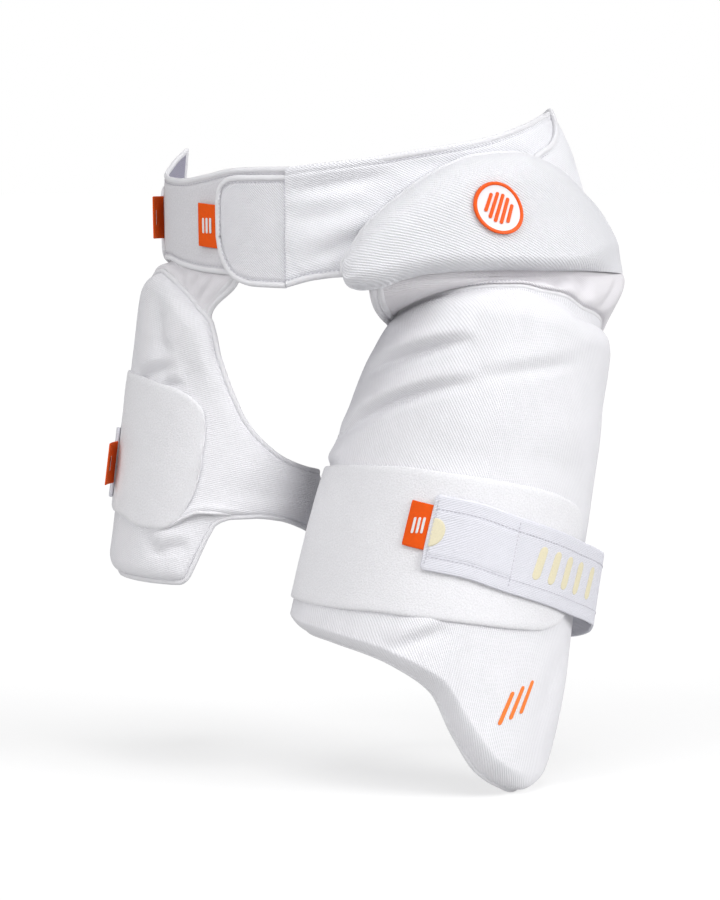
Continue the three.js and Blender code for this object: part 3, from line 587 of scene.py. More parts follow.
def brushed_loop(name, colour):
    """Brushed loop cloth: three sizes of noise make its fuzz, its loops and its uneven nap."""
    grain = 1.3
    cloth = Finish(name, roughness=0.95, sheen=0.4)
    place = cloth.cloth_place(-70)
    fuzz, loops = cloth.specks(place, grain * 0.45), cloth.specks(place, grain, 4)
    nap = cloth.specks(place, 9, 3)
    height = cloth.math("ADD", loops, cloth.level(fuzz, 0, 1, 0, 0.6))
    speck = cloth.level(loops, 0.32, 0.68, 0, 1)
    light = cloth.blend(cloth.level(nap, 0.35, 0.65, 0, 1), shade(colour, 0.97), colour)
    tone = cloth.blend(speck, shade(colour, 0.87), light)
    return cloth.done(tone, height, 0.45)


def fine_knit(name, colour, pitch=1.1, degrees=0.0, depth=0.22):
    """Smooth knit: fine rows with loops across them and a little unevenness."""
    cloth = Finish(name, roughness=0.85, sheen=0.2)
    place = cloth.cloth_place(degrees)
    rows, wales = cloth.bands(place, pitch), cloth.cross_bands(place, pitch * 0.8)
    knit = cloth.math("MULTIPLY", rows, cloth.level(wales, 0, 1, 0.6, 1))
    uneven = cloth.specks(place, 2.2)
    height = cloth.math("ADD", knit, cloth.level(uneven, 0, 1, 0, 0.8))
    mottle = cloth.level(cloth.specks(place, 12), 0.35, 0.65, 0, 1)
    dark = cloth.blend(mottle, shade(colour, 0.9), shade(colour, 0.94))
    return cloth.done(cloth.blend(knit, dark, colour), height, depth)


def ribbed_webbing(name):
    """Elastic webbing: ribs along its length, thread by thread across, edges woven closer."""
    cloth = Finish(name, roughness=0.7, sheen=0.15)
    place = cloth.cloth_place(0)
    ribs, threads = cloth.bands(place, 1.15), cloth.cross_bands(place, 0.75)
    weave = cloth.math("ADD", ribs, cloth.level(threads, 0, 1, 0, 0.5))
    fuzz = cloth.specks(place, 0.6)
    height = cloth.math("ADD", weave, cloth.level(fuzz, 0, 1, 0, 0.4))
    tone = cloth.blend(cloth.level(weave, 0, 1.5, 0, 1), shade(WHITE_WEBBING, 0.9), WHITE_WEBBING)
    return cloth.done(tone, height, 0.2)


def woven_tape(name, colour):
    """Satin tape: fine twill at a steep angle, a little lighter on its ridges."""
    cloth = Finish(name, roughness=0.7, **{"Specular IOR Level": 0.2})
    place = cloth.cloth_place(35)
    twill = cloth.bands(place, 0.6)
    uneven = cloth.specks(place, 3)
    height = cloth.math("ADD", twill, cloth.level(uneven, 0, 1, 0, 0.5))
    light = cloth.blend(cloth.level(uneven, 0.3, 0.7, 0, 1), shade(colour, 0.86), colour)
    return cloth.done(cloth.blend(twill, shade(colour, 0.8), light), height, 0.09)


def soft_rubber(name, colour):
    """Moulded rubber: satin, with faint pits and a slightly uneven gloss."""
    rubber = Finish(name, roughness=0.42, **{"Specular IOR Level": 0.3})
    place = rubber.cloth_place(0)
    pits, clouds = rubber.specks(place, 0.7), rubber.specks(place, 5)
    tone = rubber.blend(clouds, shade(colour, 0.93), colour)
    return rubber.done(tone, pits, 0.05, rubber.level(clouds, 0.3, 0.7, 0.36, 0.5))


def printed_ink(name, colour):
    """Screen print on cloth: matt ink that lets the weave's grain through."""
    ink = Finish(name, roughness=0.7)
    place = ink.cloth_place(0)
    grain, wear = ink.specks(place, 0.5), ink.specks(place, 1.6, 3)
    tone = ink.blend(ink.level(wear, 0.35, 0.65, 0, 1), shade(colour, 0.93), colour)
    return ink.done(tone, grain, 0.08)


# Belt and hip pad take the lighter copy of the white mesh colour, which paints light on them
belt_mesh = ribbed_mesh("belt_mesh", -32, pitch=1.6, hollow=0.88, depth=0.35, colour=PAINTED_LIGHT_MESH)
hip_mesh = ribbed_mesh("hip_mesh", -35, pitch=1.9, depth=0.55, colour=PAINTED_LIGHT_MESH)
thigh_mesh = ribbed_mesh("thigh_mesh", -52, pitch=1.85, hollow=0.9, depth=0.3)
inner_mesh = ribbed_mesh("inner_mesh", -12, pitch=1.3, hollow=0.92, depth=0.25)
tab_mesh = ribbed_mesh("tab_mesh", -47, pitch=1.35, hollow=0.9, depth=0.35, colour=SHADED_TAB_WHITE)
skirt_mesh = ribbed_mesh("skirt_mesh", -40, pitch=1.3, hollow=0.88, depth=0.3, colour=WHITE_KNIT)
gusset_knit = fine_knit("gusset_knit", WHITE_KNIT)
loop_cloth = brushed_loop("loop_cloth", WHITE_LOOP)
# The hip panel's loop cloth carries painted shade in its darker colour
shaded_hip_loop = brushed_loop("shaded_hip_loop", SHADED_HIP_LOOP)
edge_tape = fine_knit("edge_tape", WHITE_LOOP, pitch=0.9, degrees=90)
# Every inner face takes this lining, whose darker colour is partly the lining's own lavender and
# partly painted shade
shaded_lining_knit = fine_knit("shaded_lining_knit", SHADED_LINING, pitch=1.6)
webbing = ribbed_webbing("webbing")
# The seams' stitches carry painted shade in their grey colour
thread = fine_knit("thread", SHADED_THREAD, pitch=0.5, depth=0.08)
orange_tape = woven_tape("orange_tape", ORANGE)
white_thread = woven_tape("white_thread", WHITE_THREAD)
orange_rubber = soft_rubber("orange_rubber", ORANGE)
white_rubber = soft_rubber("white_rubber", WHITE_RUBBER)
beige_ink = printed_ink("beige_ink", BEIGE)
orange_ink = printed_ink("orange_ink", ORANGE_PRINT)


# Plans of the layers, as in the part's source: turn, then top and bottom as shares of a length.
# The tables beside them: turn, then what they give.

hip_panel = Strip(waist, [
    [-112.4, 0.52, -0.36],
    [-104, 0.43, -0.38],
    [-97, 0.36, -0.39],
    [-88, 0.31, -0.39],
    [-77, 0.28, -0.39],
    [-64, 0.265, -0.44],
    [-52, 0.3, -0.475],
    [-41, 0.35, -0.49],
    [-30, 0.36, -0.49],
    [-14, 0.36, -0.47],
], length=BELT_HEIGHT)

belt_tab = Strip(waist, [
    [-46, 0.1, -0.19],
    [-45.2, 0.2, -0.31],
    [-43.8, 0.25, -0.41],
    [-41.3, 0.285, -0.5],
    [-38, 0.295, -0.555],
    [-33.5, 0.295, -0.585],
    [-23.6, 0.3, -0.595],
], length=BELT_HEIGHT)

front_belt = Strip(waist, [
    [-23.3, 0.355, -0.585],
    [-15.5, 0.385, -0.525],
    [-7.5, 0.41, -0.5],
    [3.5, 0.455, -0.5],
    [13, 0.5, -0.5],
    [34, 0.59, -0.5],
    [53.5, 0.705, -0.5],
    [72.5, 0.795, -0.5],
    [86, 0.82, -0.5],
], length=BELT_HEIGHT)

rear_belt = Strip(waist, [
    [45, -0.33, -0.41],
    [46.5, -0.12, -0.41],
    [48.5, 0.12, -0.41],
    [52, 0.45, -0.41],
    [64, 0.56, -0.41],
    [74, 0.68, -0.41],
    [86, 0.82, -0.41],
    [92, 0.85, -0.41],
    [112, 0.78, -0.41],
    [130, 0.66, -0.46],
    [180, 0.44, -0.55],
    [230, 0.24, -0.52],
    [240, 0.23, -0.5],
], length=BELT_HEIGHT)
# Lift of the rear belt off the waist
REAR_BELT_LIFTS = np.array([
    [86, REAR_LIFT],
    [100, REAR_LIFT],
    [140, TAB_LIFT],
    [180, TAB_LIFT],
])

rear_tab = Strip(waist, [
    [240.3, 0.23, -0.5],
    [258, 0.22, -0.43],
    [266, 0.18, -0.37],
], length=BELT_HEIGHT, corner=7, joined=("start",))

hip_pad = Strip(waist, [
    [-8, -0.35, -0.43],
    [-7, -0.31, -0.5],
    [-5.5, -0.24, -0.53],
    [-3, -0.125, -0.545],
    [1.5, 0.01, -0.53],
    [6.5, 0.124, -0.475],
    [13.5, 0.258, -0.435],
    [20.5, 0.35, -0.42],
    [27.5, 0.412, -0.415],
    [34, 0.433, -0.415],
    [41.5, 0.443, -0.42],
    [49, 0.412, -0.425],
    [57.5, 0.34, -0.43],
    [64, 0.258, -0.44],
    [70, 0.17, -0.45],
    [77, 0.11, -0.46],
    [85, 0.04, -0.475],
    [93, -0.06, -0.48],
    [100, -0.17, -0.48],
    [106, -0.29, -0.475],
    [109, -0.36, -0.46],
], length=HIP_HEIGHT)
# Share of the hip pad's full thickness
HIP_PAD_BUILD = np.array([
    [38, 1],
    [62, 0.8],
    [80, 0.52],
    [109, 0.45],
])

thigh_pad = Strip(left_thigh, [
    [-92, 0.104, 0.682],
    [-84, 0.088, 0.684],
    [-73, 0.066, 0.688],
    [-56, 0.038, 0.691],
    [-39, 0.015, 0.7],
    [-25, 0.005, 0.713],
    [-11, 0, 0.737],
    [4, 0.002, 0.778],
    [18, 0.015, 0.864],
    [34, 0.031, 0.942],
    [49, 0.058, 0.977],
    [63, 0.072, 0.995],
    [76, 0.088, 0.986],
    [85, 0.108, 0.955],
    [92, 0.14, 0.905],
    [97, 0.18, 0.84],
], level=THIGH_TOP, length=-THIGH_LENGTH)

thigh_loop = Strip(left_thigh, [
    [-84, 0.364, 0.622],
    [-60, 0.35, 0.62],
    [-29, 0.344, 0.62],
    [-8, 0.354, 0.628],
    [12, 0.368, 0.64],
    [35, 0.392, 0.658],
    [48, 0.412, 0.665],
    [57, 0.43, 0.66],
    [63, 0.452, 0.642],
    [67, 0.48, 0.61],
], level=THIGH_TOP, length=-THIGH_LENGTH)

# The guard round the right thigh is one padded piece that thins out into its wing.
inner_guard = Strip(right_thigh, [
    [-90, 0.115, 0.94],
    [-86, 0.06, 0.975],
    [-80, 0.028, 0.992],
    [-70, 0.008, 1],
    [-62, 0, 1],
    [-51, 0.018, 1],
    [-34, 0.071, 1],
    [-24, 0.12, 1],
    [-17, 0.155, 0.999],
    [-13, 0.205, 0.985],
    [-9.5, 0.262, 0.94],
    [-6.5, 0.3, 0.892],
    [-3, 0.341, 0.84],
    [0, 0.375, 0.808],
    [5, 0.425, 0.793],
    [10, 0.471, 0.787],
    [23, 0.547, 0.787],
    [40, 0.609, 0.8],
    [62, 0.649, 0.836],
    [90, 0.676, 0.885],
], level=INNER_TOP, length=-INNER_LENGTH)
# How far the cloth carries the pad's top edge up, and the width of its flat band
THIGH_BAND = np.array([
    [-92, 3, 2.5],
    [-30, 4, 2.5],
    [10, 6, 4],
    [45, 9, 8],
    [97, 9, 8],
])
thigh_pad.plan[:, 1] -= along(THIGH_BAND, thigh_pad.plan[:, 0]) / THIGH_LENGTH


def thigh_top_edge(turn):
    """Height of the thigh pad's top edge."""
    return THIGH_TOP - THIGH_LENGTH * along(thigh_pad.plan, turn)


def thigh_flare(turn, z):
    """How far the thigh pad's top stands off the thigh: a step on each side of its dome that
    fades out below the edge."""
    top = thigh_top_edge(turn)
    sides = ramp(turn, 30, 80) + 1.4 * ramp(-turn, 5, 35) * (1 - 0.5 * ramp(-turn, 58, 84))
    return THIGH_FLARE * sides * (1 - ramp(top - z, 0, THIGH_FLARE_DROP))


# Share of the way from the wing's thickness to the pad's
INNER_BUILD = np.array([
    [-60, 1],
    [-42, 0.95],
    [-22, 0.7],
    [-4, 0.35],
    [15, 0.1],
    [40, 0],
])

inner_loop = Strip(right_thigh, [
    [-84, 0.338, 0.788],
    [-60, 0.345, 0.796],
    [-44, 0.36, 0.82],
    [-30, 0.378, 0.822],
    [-21, 0.402, 0.795],
    [-16, 0.425, 0.745],
    [-12.5, 0.455, 0.69],
    [-11, 0.49, 0.63],
], level=INNER_TOP, length=-INNER_LENGTH)

# Straps: turn, height of the middle line as a share down from the pad's top, lift share
THIGH_STRAP_PATH = np.array([
    [-11, 0.463, 1],
    [6, 0.48, 1],
    [22, 0.507, 1],
    [50, 0.552, 1],
    [62, 0.572, 1.04],
    [74, 0.591, 1.22],
    [86, 0.612, 1.43],
    [98, 0.636, 1.42],
    [112, 0.653, 1.15],
    [135, 0.656, 0.6],
    [165, 0.643, 0.25],
    [200, 0.615, 0.1],
    [240, 0.575, 0.03],
    [262, 0.55, 0],
    [276, 0.535, 0],
])
INNER_STRAP_PATH = np.array([
    [-269.6, 0.782, 0],
    [-262, 0.782, 0],
    [-240, 0.778, 0],
    [-200, 0.755, 0.02],
    [-160, 0.72, 0.05],
    [-130, 0.685, 0.35],
    [-112, 0.664, 0.8],
    [-98, 0.65, 1.05],
    [-88, 0.642, 1],
    [-78, 0.636, 1],
])
# Width of the elastic
STRAP_STRETCH = np.array([
    [-270, 41],
    [-200, 42],
    [-130, 47],
    [-100, STRAP_WIDTH],
    [280, STRAP_WIDTH],
])


def inner_face(turn, distance):
    """Lift of the right thigh guard's face: the liner, the edge and a round shoulder."""
    full = WING_THICK + (INNER_THICK - WING_THICK) * along(INNER_BUILD, turn)
    return INNER_LINER + INNER_EDGE + (full - INNER_EDGE) * shoulder(distance, INNER_BEVEL)


def on_inner_guard(turn):
    """Lift of what lies on the guard's full thickness."""
    return inner_face(turn, INNER_BEVEL) + LAYER_GAP


def strap_strip(form, path, top_edge, length, joined):
    """Elastic along a path, drawn narrower where it is stretched round the back."""
    middle = top_edge - length * path[:, 1]
    half = along(STRAP_STRETCH, path[:, 0]) / 2
    plan = np.stack([path[:, 0], middle + half, middle - half], -1)
    return Strip(form, plan, corner=STRAP_CORNER, joined=joined)


# Folds and creases


def fold(x, y, line, width, depth):
    """A soft fold along the quadratic curve that three points of line steer. With u the distance
    to the curve, + on the left of its way, over 1.5 widths on that side and 0.75 on the other,
    the cloth stands out by u exp((1 - u^2) / 2), so that one side hangs over the other, and is
    nipped in by 0.4 exp(-(u / 0.6)^2) along the curve. Both fade out towards its ends."""
    line = np.array(line, float)
    t = np.linspace(0, 1, 13)[:, None]
    curve = (1 - t) ** 2 * line[0] + 2 * t * (1 - t) * line[1] + t * t * line[2]
    a, run = curve[:-1], np.diff(curve, axis=0)
    px, py = np.expand_dims(x, -1) - a[:, 0], np.expand_dims(y, -1) - a[:, 1]
    s = np.clip((px * run[:, 0] + py * run[:, 1]) / (run**2).sum(axis=1), 0, 1)
    away_x, away_y = px - s * run[:, 0], py - s * run[:, 1]
    apart = np.hypot(away_x, away_y)
    k = apart.argmin(axis=-1)[..., None]
    near = np.take_along_axis(apart, k, -1)[..., 0]
    left = np.sign(run[:, 0] * away_y - run[:, 1] * away_x)
    side = np.take_along_axis(left, k, -1)[..., 0]
    u = near * side / (width * np.where(side > 0, 1.5, 0.75))
    share = (k[..., 0] + np.take_along_axis(s, k, -1)[..., 0]) / len(run)
    fade = np.sin(np.pi * share) ** 0.8
    return depth * fade * (u * np.exp((1 - u * u) / 2) - 0.4 * np.exp(-((u / 0.6) ** 2)))


def folds(x, y, rows, scale=(1, 1), level=0):
    """The sum of a table's folds. A row has x and y of three points, as shares of a scale and
    from a level on, then width and depth."""
    total = 0
    for row in rows:
        line = np.array(row[:6]).reshape(3, 2) * scale + (0, level)
        total = total + fold(x, y, line, row[6], row[7])
    return total


def folds_on(strip, rows, degree, level, length):
    """The sum of a table's folds on a strip, whose rows give turn and drop of three points; a
    degree has a length, and drops are shares of a length below a level."""
    return folds(strip.turn * degree, strip.z, rows, (degree, -length), level)


# Turn and drop of three points, then width and depth. A belt piece is pressed in no deeper than
# its limit.
BELT_PRESS_LIMIT = -2.2
BELT_FOLDS = [
    [-25, 0.3, -10, 0.25, 5, 0.13, 6, 2.6],
    [-20, 0.9, -10, 0.74, 0, 0.56, 5.5, 2.4],
    [-23, 0.52, -12, 0.5, -1, 0.38, 7, 1.6],
    [-22, 0.98, -15, 0.98, -8, 0.9, 4, 0.9],
    [-6, 0.78, 2, 0.62, 8, 0.5, 6, 1.2],
    [2, 0.1, 20, 0.08, 38, -0.02, 6, 1.0],
]
THIGH_FOLDS = [
    [-74, 0.168, -37, 0.103, -12, 0.082, 5, 5.0],
    [-82, 0.305, -42, 0.185, -6, 0.165, 5, 5.2],
    [-12, 0.162, 14, 0.139, 48, 0.13, 5, 1.4],
    [-98, 0.374, -84, 0.353, -66, 0.341, 4, 2.4],
    [-16, 0.695, -6, 0.663, 4, 0.643, 4.5, 3.0],
    [-60, 0.05, -40, 0.045, -20, 0.03, 8, 1.0],
    [20, 0.3, 45, 0.32, 66, 0.36, 12, 1.2],
    [-30, 0.28, -5, 0.3, 20, 0.31, 14, 1.2],
    [70, 0.72, 60, 0.8, 62, 0.9, 9, 1.0],
]
INNER_FOLDS = [
    [-52, 0.06, -40, 0.2, -35, 0.34, 9, 2.6],
    [-50, 0.21, -42, 0.235, -34, 0.25, 5, 1.6],
    [-62, 0.345, -47, 0.3, -31, 0.297, 4.5, 3.4],
    [-40, 0.35, -33, 0.35, -26, 0.352, 3.5, 2.2],
    [-37, 0.83, -33, 0.87, -31, 0.92, 5, 2.2],
    [-34, 0.9, -24, 0.865, -12, 0.87, 5, 2.4],
    [-30, 0.15, -22, 0.3, -14, 0.4, 10, 1.4],
    [0, 0.66, 20, 0.7, 45, 0.72, 9, 0.9],
]


# Belt

SEWN_INSET, SEWN_DEPTH, SEWN_WIDTH = 4, 0.8, 0.9
BELT_ROLL, TAB_ROLL = roll(2.3, 2.1, 1.2), roll(2.2, 1.9, 1.2)
FINE_STITCH = {"length": 1.9, "gap": 1.2, "width": 0.34}


def belt_piece(name, strip, inner, thickness, columns, rows, materials, unevenness=0.3, press=0,
               sewn_edges=("top", "bottom")):
    """A belt layer: inner face at its lift, outer face a cloth's thickness above it, with soft
    unevenness all over, its folds pressed in and a groove inside the edges sewn down."""
    strip.grid(columns, rows, 0.3)
    wave = unevenness * ripple(strip.arc, strip.z, 38, len(name))
    inset = strip.edge_distance(sewn_edges) - SEWN_INSET
    sewn = SEWN_DEPTH * np.exp(-((inset / SEWN_WIDTH) ** 2))
    low = strip.form(strip.turn, strip.z, inner + 0.5 * wave + press)
    high = strip.form(strip.turn, strip.z, inner + thickness + wave + press - sewn)
    return closed_sheet(name, high, low, materials)


def dress(piece, nodes):
    """Hides the CAD nodes that a piece stands for and gives the piece back."""
    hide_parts(*nodes)
    return piece


def edging(name, path, profile):
    """A rolled edge of tape along a path."""
    swept(name, path, profile, [edge_tape])


panel_cloth = belt_piece("hip_panel_cloth", hip_panel, 0, PANEL_CLOTH, 120, 44,
                         [shaded_hip_loop, shaded_lining_knit])
dress(panel_cloth, ["hip_panel"])
edging("hip_panel_edge",
       hip_panel.rim(["end", "bottom", "start", "top"], PANEL_CLOTH / 2), roll(2.1, 1.75, 0.9))
stitches("hip_panel_stitches",
         [moved(hip_panel.rim([side], PANEL_CLOTH + 0.1), -SEWN_INSET)
          for side in ("top", "bottom")], thread, **FINE_STITCH)

tab_cloth = belt_piece("belt_tab_cloth", belt_tab, TAB_LIFT, TAB_CLOTH, 70, 60,
                       [tab_mesh, loop_cloth], 0.2, sewn_edges=("top", "bottom", "start"))
dress(tab_cloth, ["front_belt_tab"])
tab_middle = TAB_LIFT + TAB_CLOTH / 2
edging("belt_tab_edge", belt_tab.rim(["bottom", "start", "top"], tab_middle), TAB_ROLL)

front_belt.grid(200, 60, 0.3)
front_press = folds_on(front_belt, BELT_FOLDS, np.pi * WAIST_DEPTH / 360, BELT_HEIGHT / 2,
                       BELT_HEIGHT)
front_press = np.maximum(front_press, BELT_PRESS_LIMIT)
front_cloth = belt_piece("front_belt_cloth", front_belt, TAB_LIFT, BELT_CLOTH, 200, 60,
                         [belt_mesh, shaded_lining_knit], 0.35, front_press)
dress(front_cloth, ["front_belt"])
front_middle = TAB_LIFT + BELT_CLOTH / 2
edging("front_belt_top_edge", front_belt.rim(["top"], front_middle), BELT_ROLL)
edging("front_belt_foot_edge", front_belt.rim(["bottom"], front_middle), BELT_ROLL)


def rear_lift(turn):
    """Lift of the rear belt's inner face."""
    return along(REAR_BELT_LIFTS, turn)


rear_belt.grid(320, 50, 0.3)
rear_cloth = belt_piece("rear_belt_cloth", rear_belt, rear_lift(rear_belt.turn), BELT_CLOTH,
                        320, 50, [belt_mesh, shaded_lining_knit], 0.5,
                        sewn_edges=("top", "bottom", "start"))
dress(rear_cloth, ["rear_belt"])
edging("rear_belt_edge",
       rear_belt.rim(["bottom", "start", "top"],
                     lambda turn, z: rear_lift(turn) + BELT_CLOTH / 2), BELT_ROLL)

back_tab_cloth = belt_piece("rear_tab_cloth", rear_tab, TAB_LIFT, TAB_CLOTH, 60, 40,
                            [tab_mesh, loop_cloth], 0.2, sewn_edges=("top", "bottom", "end"))
dress(back_tab_cloth, ["rear_belt_tab"])
edging("rear_tab_edge", rear_tab.rim(["top", "end", "bottom"], tab_middle), TAB_ROLL)

# The seam where tab and front belt are joined, and the stitch lines inside the rolled edges
TAB_SEAM_TURN = -23.7
seam_z = np.linspace(0.29, -0.58, 60) * BELT_HEIGHT
tab_seam = path_on(waist, np.full(len(seam_z), TAB_SEAM_TURN), seam_z,
                   TAB_LIFT + BELT_CLOTH + 0.1)
tab_face, belt_face = TAB_LIFT + TAB_CLOTH + 0.3, TAB_LIFT + BELT_CLOTH + 0.25
stitches("belt_stitches", [
    tab_seam,
    moved(belt_tab.rim(["bottom", "start", "top"], tab_face), 0.1 - SEWN_INSET),
    moved(front_belt.rim(["top"], belt_face), -SEWN_INSET),
    moved(front_belt.rim(["bottom"], belt_face), -SEWN_INSET),
    moved(rear_belt.rim(["start", "top"], lambda turn, z: rear_lift(turn) + BELT_CLOTH + 0.3),
          -SEWN_INSET),
    moved(rear_tab.rim(["top", "end", "bottom"], tab_face), 0.1 - SEWN_INSET),
], thread, **FINE_STITCH)


# Hip pad


def hip_foot(turn):
    """Height of the pad's foot."""
    return hip_pad.length * along(hip_pad.plan, turn, 2)


def hip_inner(turn, z):
    """The pad's back steps up over the rear belt and over the skirt. Its foot lies close on the
    skirt and stands out with it to the rear."""
    over_rear = ramp(turn, 36, 43)
    over_skirt = ramp(-z, -PANEL_FOOT - 14, -PANEL_FOOT - 3)
    foot = hip_foot(turn)
    close = (LAYER_GAP - 0.2) * (1 - ramp(z - foot, 0, 6)) * ramp(turn, 2, 12)
    stand = (SKIRT_STAND + 0.7) * (1 - ramp(z - foot, -2, 18)) * ramp(turn, 40, 75)
    return HIP_LOW + (HIP_HIGH - HIP_LOW) * np.maximum(over_rear, over_skirt) - close + stand


def hip_outer(turn, z, distance):
    """A crown that rises from the edge in a round shoulder and thins out to the rear. Its foot
    turns under more sharply, from an edge that also thins out to the rear."""
    build = HIP_THICK * along(HIP_PAD_BUILD, turn)
    foot = hip_foot(turn)
    slope = 15 - 5 * ramp(turn, 5, 40) + 14 * ramp(turn, 45, 80)
    rise = np.minimum(shoulder(distance, HIP_BEVEL),
                      shoulder(z - foot, slope, 1.7 - 0.5 * ramp(turn, 45, 80)))
    thinned = 2.2 * ramp(turn, 0, 15) + 0.5 * ramp(turn, 45, 70)
    edge = HIP_EDGE - thinned * (1 - ramp(z - foot, 0, slope))
    crown = edge + (build - edge) * rise
    low = hip_inner(turn, z) + crown
    return low + (HIP_HIGH + crown - low) * rise


hip_pad.grid(190, 110, 0.55)
hip_distance = hip_pad.edge_distance(("top", "start", "end"))
hip_cover = closed_sheet(
    "hip_pad_cover",
    waist(hip_pad.turn, hip_pad.z,
          hip_outer(hip_pad.turn, hip_pad.z, hip_distance)
          + 0.25 * ripple(hip_pad.arc, hip_pad.z, 45, 3) * ramp(hip_distance, 0, 12)),
    waist(hip_pad.turn, hip_pad.z, hip_inner(hip_pad.turn, hip_pad.z)),
    [hip_mesh, shaded_lining_knit])
dress(hip_cover, ["hip_pad"])
edging("hip_pad_edge",
       hip_pad.rim(["start", "top"], lambda turn, z: hip_inner(turn, z) + HIP_EDGE / 2),
       roll(1.4, 1.7, 0.2))


# Badge: a round moulded disc with a raised rim and plain raised grips

BADGE_SIDES, BADGE_WHITE_RINGS = 96, 2
GRIP_SLANT, GRIP_HALF_WIDTH, GRIP_RISE, GRIP_REACH = 0.5, 1.15, 0.9, 11.2
GRIP_STEP = 4.2


def badge_disc():
    """A profile of radius and rise turned about the badge's middle: a flat centre, a step up to
    the rim, round edges and a straight side. Gives points, faces and which faces are white: the
    first rings and the lid."""
    radius, rim = BADGE_DIAMETER / 2, BADGE_THICK + BADGE_RISE
    inside = radius - BADGE_RING
    profile = np.array([
        [0.02, BADGE_THICK], [radius * 0.5, BADGE_THICK], [inside - 0.35, BADGE_THICK],
        [inside - 0.1, BADGE_THICK + 0.1], [inside, rim - 0.3], [inside + 0.3, rim],
        [radius - 0.5, rim], [radius - 0.12, rim - 0.15], [radius, rim - 0.5], [radius, 0],
        [radius * 0.5, 0], [0.02, 0]])
    angle = 2 * np.pi * np.arange(BADGE_SIDES) / BADGE_SIDES
    points = np.stack(np.broadcast_arrays(profile[:, :1] * np.cos(angle),
                                          profile[:, :1] * np.sin(angle), profile[:, 1:]), -1)
    at = np.arange(points[..., 0].size).reshape(points.shape[:2])
    turned = np.roll(at, -1, axis=1)
    quads = np.stack([at[:-1], at[1:], turned[1:], turned[:-1]], -1).reshape(-1, 4)
    middle = lid(at[0])
    white = np.zeros(len(quads) + 2 * len(middle), np.int32)
    white[:BADGE_WHITE_RINGS * BADGE_SIDES] = 1
    white[len(quads):len(quads) + len(middle)] = 1
    return points.reshape(-1, 3), np.concatenate([quads, middle, lid(at[-1])[:, ::-1]]), white


badge_lift = HIP_HIGH + HIP_THICK + LAYER_GAP / 2
disc_points, disc_faces, white_faces = badge_disc()
badge = along_surface("hip_badge_disc", waist, BADGE_TURN, BADGE_HEIGHT, badge_lift,
                      disc_points, disc_faces, [orange_rubber, white_rubber])
badge.data.polygons.foreach_set("material_index", white_faces)
dress(badge, ["hip_badge"])
grip_places = GRIP_STEP * np.arange(-2, 3)
grip_halves = np.sqrt(GRIP_REACH**2 - grip_places**2) - 1.2
grips = several([pill(half, GRIP_HALF_WIDTH, GRIP_RISE, GRIP_SLANT, x * np.cos(GRIP_SLANT),
                      -x * np.sin(GRIP_SLANT)) for x, half in zip(grip_places, grip_halves)])
badge_relief = along_surface("hip_badge_relief", waist, BADGE_TURN, BADGE_HEIGHT,
                             badge_lift + BADGE_THICK - 0.05, *grips, [orange_rubber])


# Skirt and gusset: share of the way along, turn on the waist, turn on the thigh and, for the
# skirt, share of its fullness. Their folds lie on a map of 100 along by 50 down.

SKIRT_PLAN = np.array([
    [0, -1, -91, 0.3],
    [0.1, 10, -72, 0.35],
    [0.22, 22, -38, 0.4],
    [0.34, 32, -8, 0.4],
    [0.45, 42, 14, 0.4],
    [0.57, 52, 32, 0.45],
    [0.68, 62, 48, 0.55],
    [0.8, 76, 68, 0.7],
    [0.9, 92, 84, 0.7],
    [1, 112, 96, 0.5],
])
GUSSET_PLAN = np.array([
    [0, -93, -86],
    [0.2, -82, -66],
    [0.45, -66, -45],
    [0.75, -51, -28],
    [1, -40, -17],
])
SKIRT_FOLDS = [
    [47, -1, 52, -22, 57, -50, 2.4, 1.7],
    [59, -1, 63, -20, 69, -50, 2.4, 2.2],
    [79, 0, 79, -22, 78, -50, 2.2, 1.8],
    [38, -2, 41, -20, 46, -46, 2.4, 0.8],
]
GUSSET_FOLDS = [
    [62, -2, 66, -25, 74, -50, 4, 1.7],
    [44, -2, 50, -25, 60, -50, 5, 1.3],
    [78, -2, 80, -25, 86, -50, 3.5, 1.3],
]
MAP_ALONG, MAP_DOWN = 100, 50
STRAIGHT, CROSSING = 5, 44
SKIRT_TAKE_OFF, SKIRT_ARRIVAL, SKIRT_ARRIVAL_LIFT = 0.3, 2.8, 4.6
GUSSET_ARRIVAL, GUSSET_ARRIVAL_LIFT = 2, 2.4
SKIRT_SEWN_COLUMNS = slice(28, 70)


def seat(form, turn, z, lift):
    """Points on a form with the way down it and the way out of it."""
    point = form(turn, z, lift)
    run, out = form(turn, z - 1, lift) - point, form(turn, z, lift + 1) - point
    return point, unit(run), unit(out)


def bridge(upper, lower, swell, droop, catch):
    """The middle of a cloth between two forms: straight between upper's two places, over to
    lower's first place in a cubic whose ends pull by droop and catch, plus a swell outwards of
    (4 r (1 - r))^0.45, and straight on."""
    (start, _, _), (leave, leave_run, leave_out) = upper
    (arrive, arrive_run, _), (end, _, _) = lower
    r = np.linspace(0, 1, CROSSING)[None, :, None]
    reach = np.linalg.norm(arrive - leave, axis=-1)[:, None, None]
    blend = r * r * (3 - 2 * r)
    over = leave[:, None] * (1 - blend) + arrive[:, None] * blend
    over = over + leave_run[:, None] * droop[:, None, None] * reach * r * (1 - r) ** 2
    over = over - arrive_run[:, None] * catch[:, None, None] * reach * r * r * (1 - r)
    over = over + leave_out[:, None] * swell[:, None, None] * (4 * r * (1 - r)) ** 0.45
    s = np.linspace(0, 1, STRAIGHT)[None, :, None]
    first = start[:, None] * (1 - s) + leave[:, None] * s
    last = arrive[:, None] * (1 - s) + end[:, None] * s
    return np.concatenate([first[:, :-1], over, last[:, 1:]], axis=1)


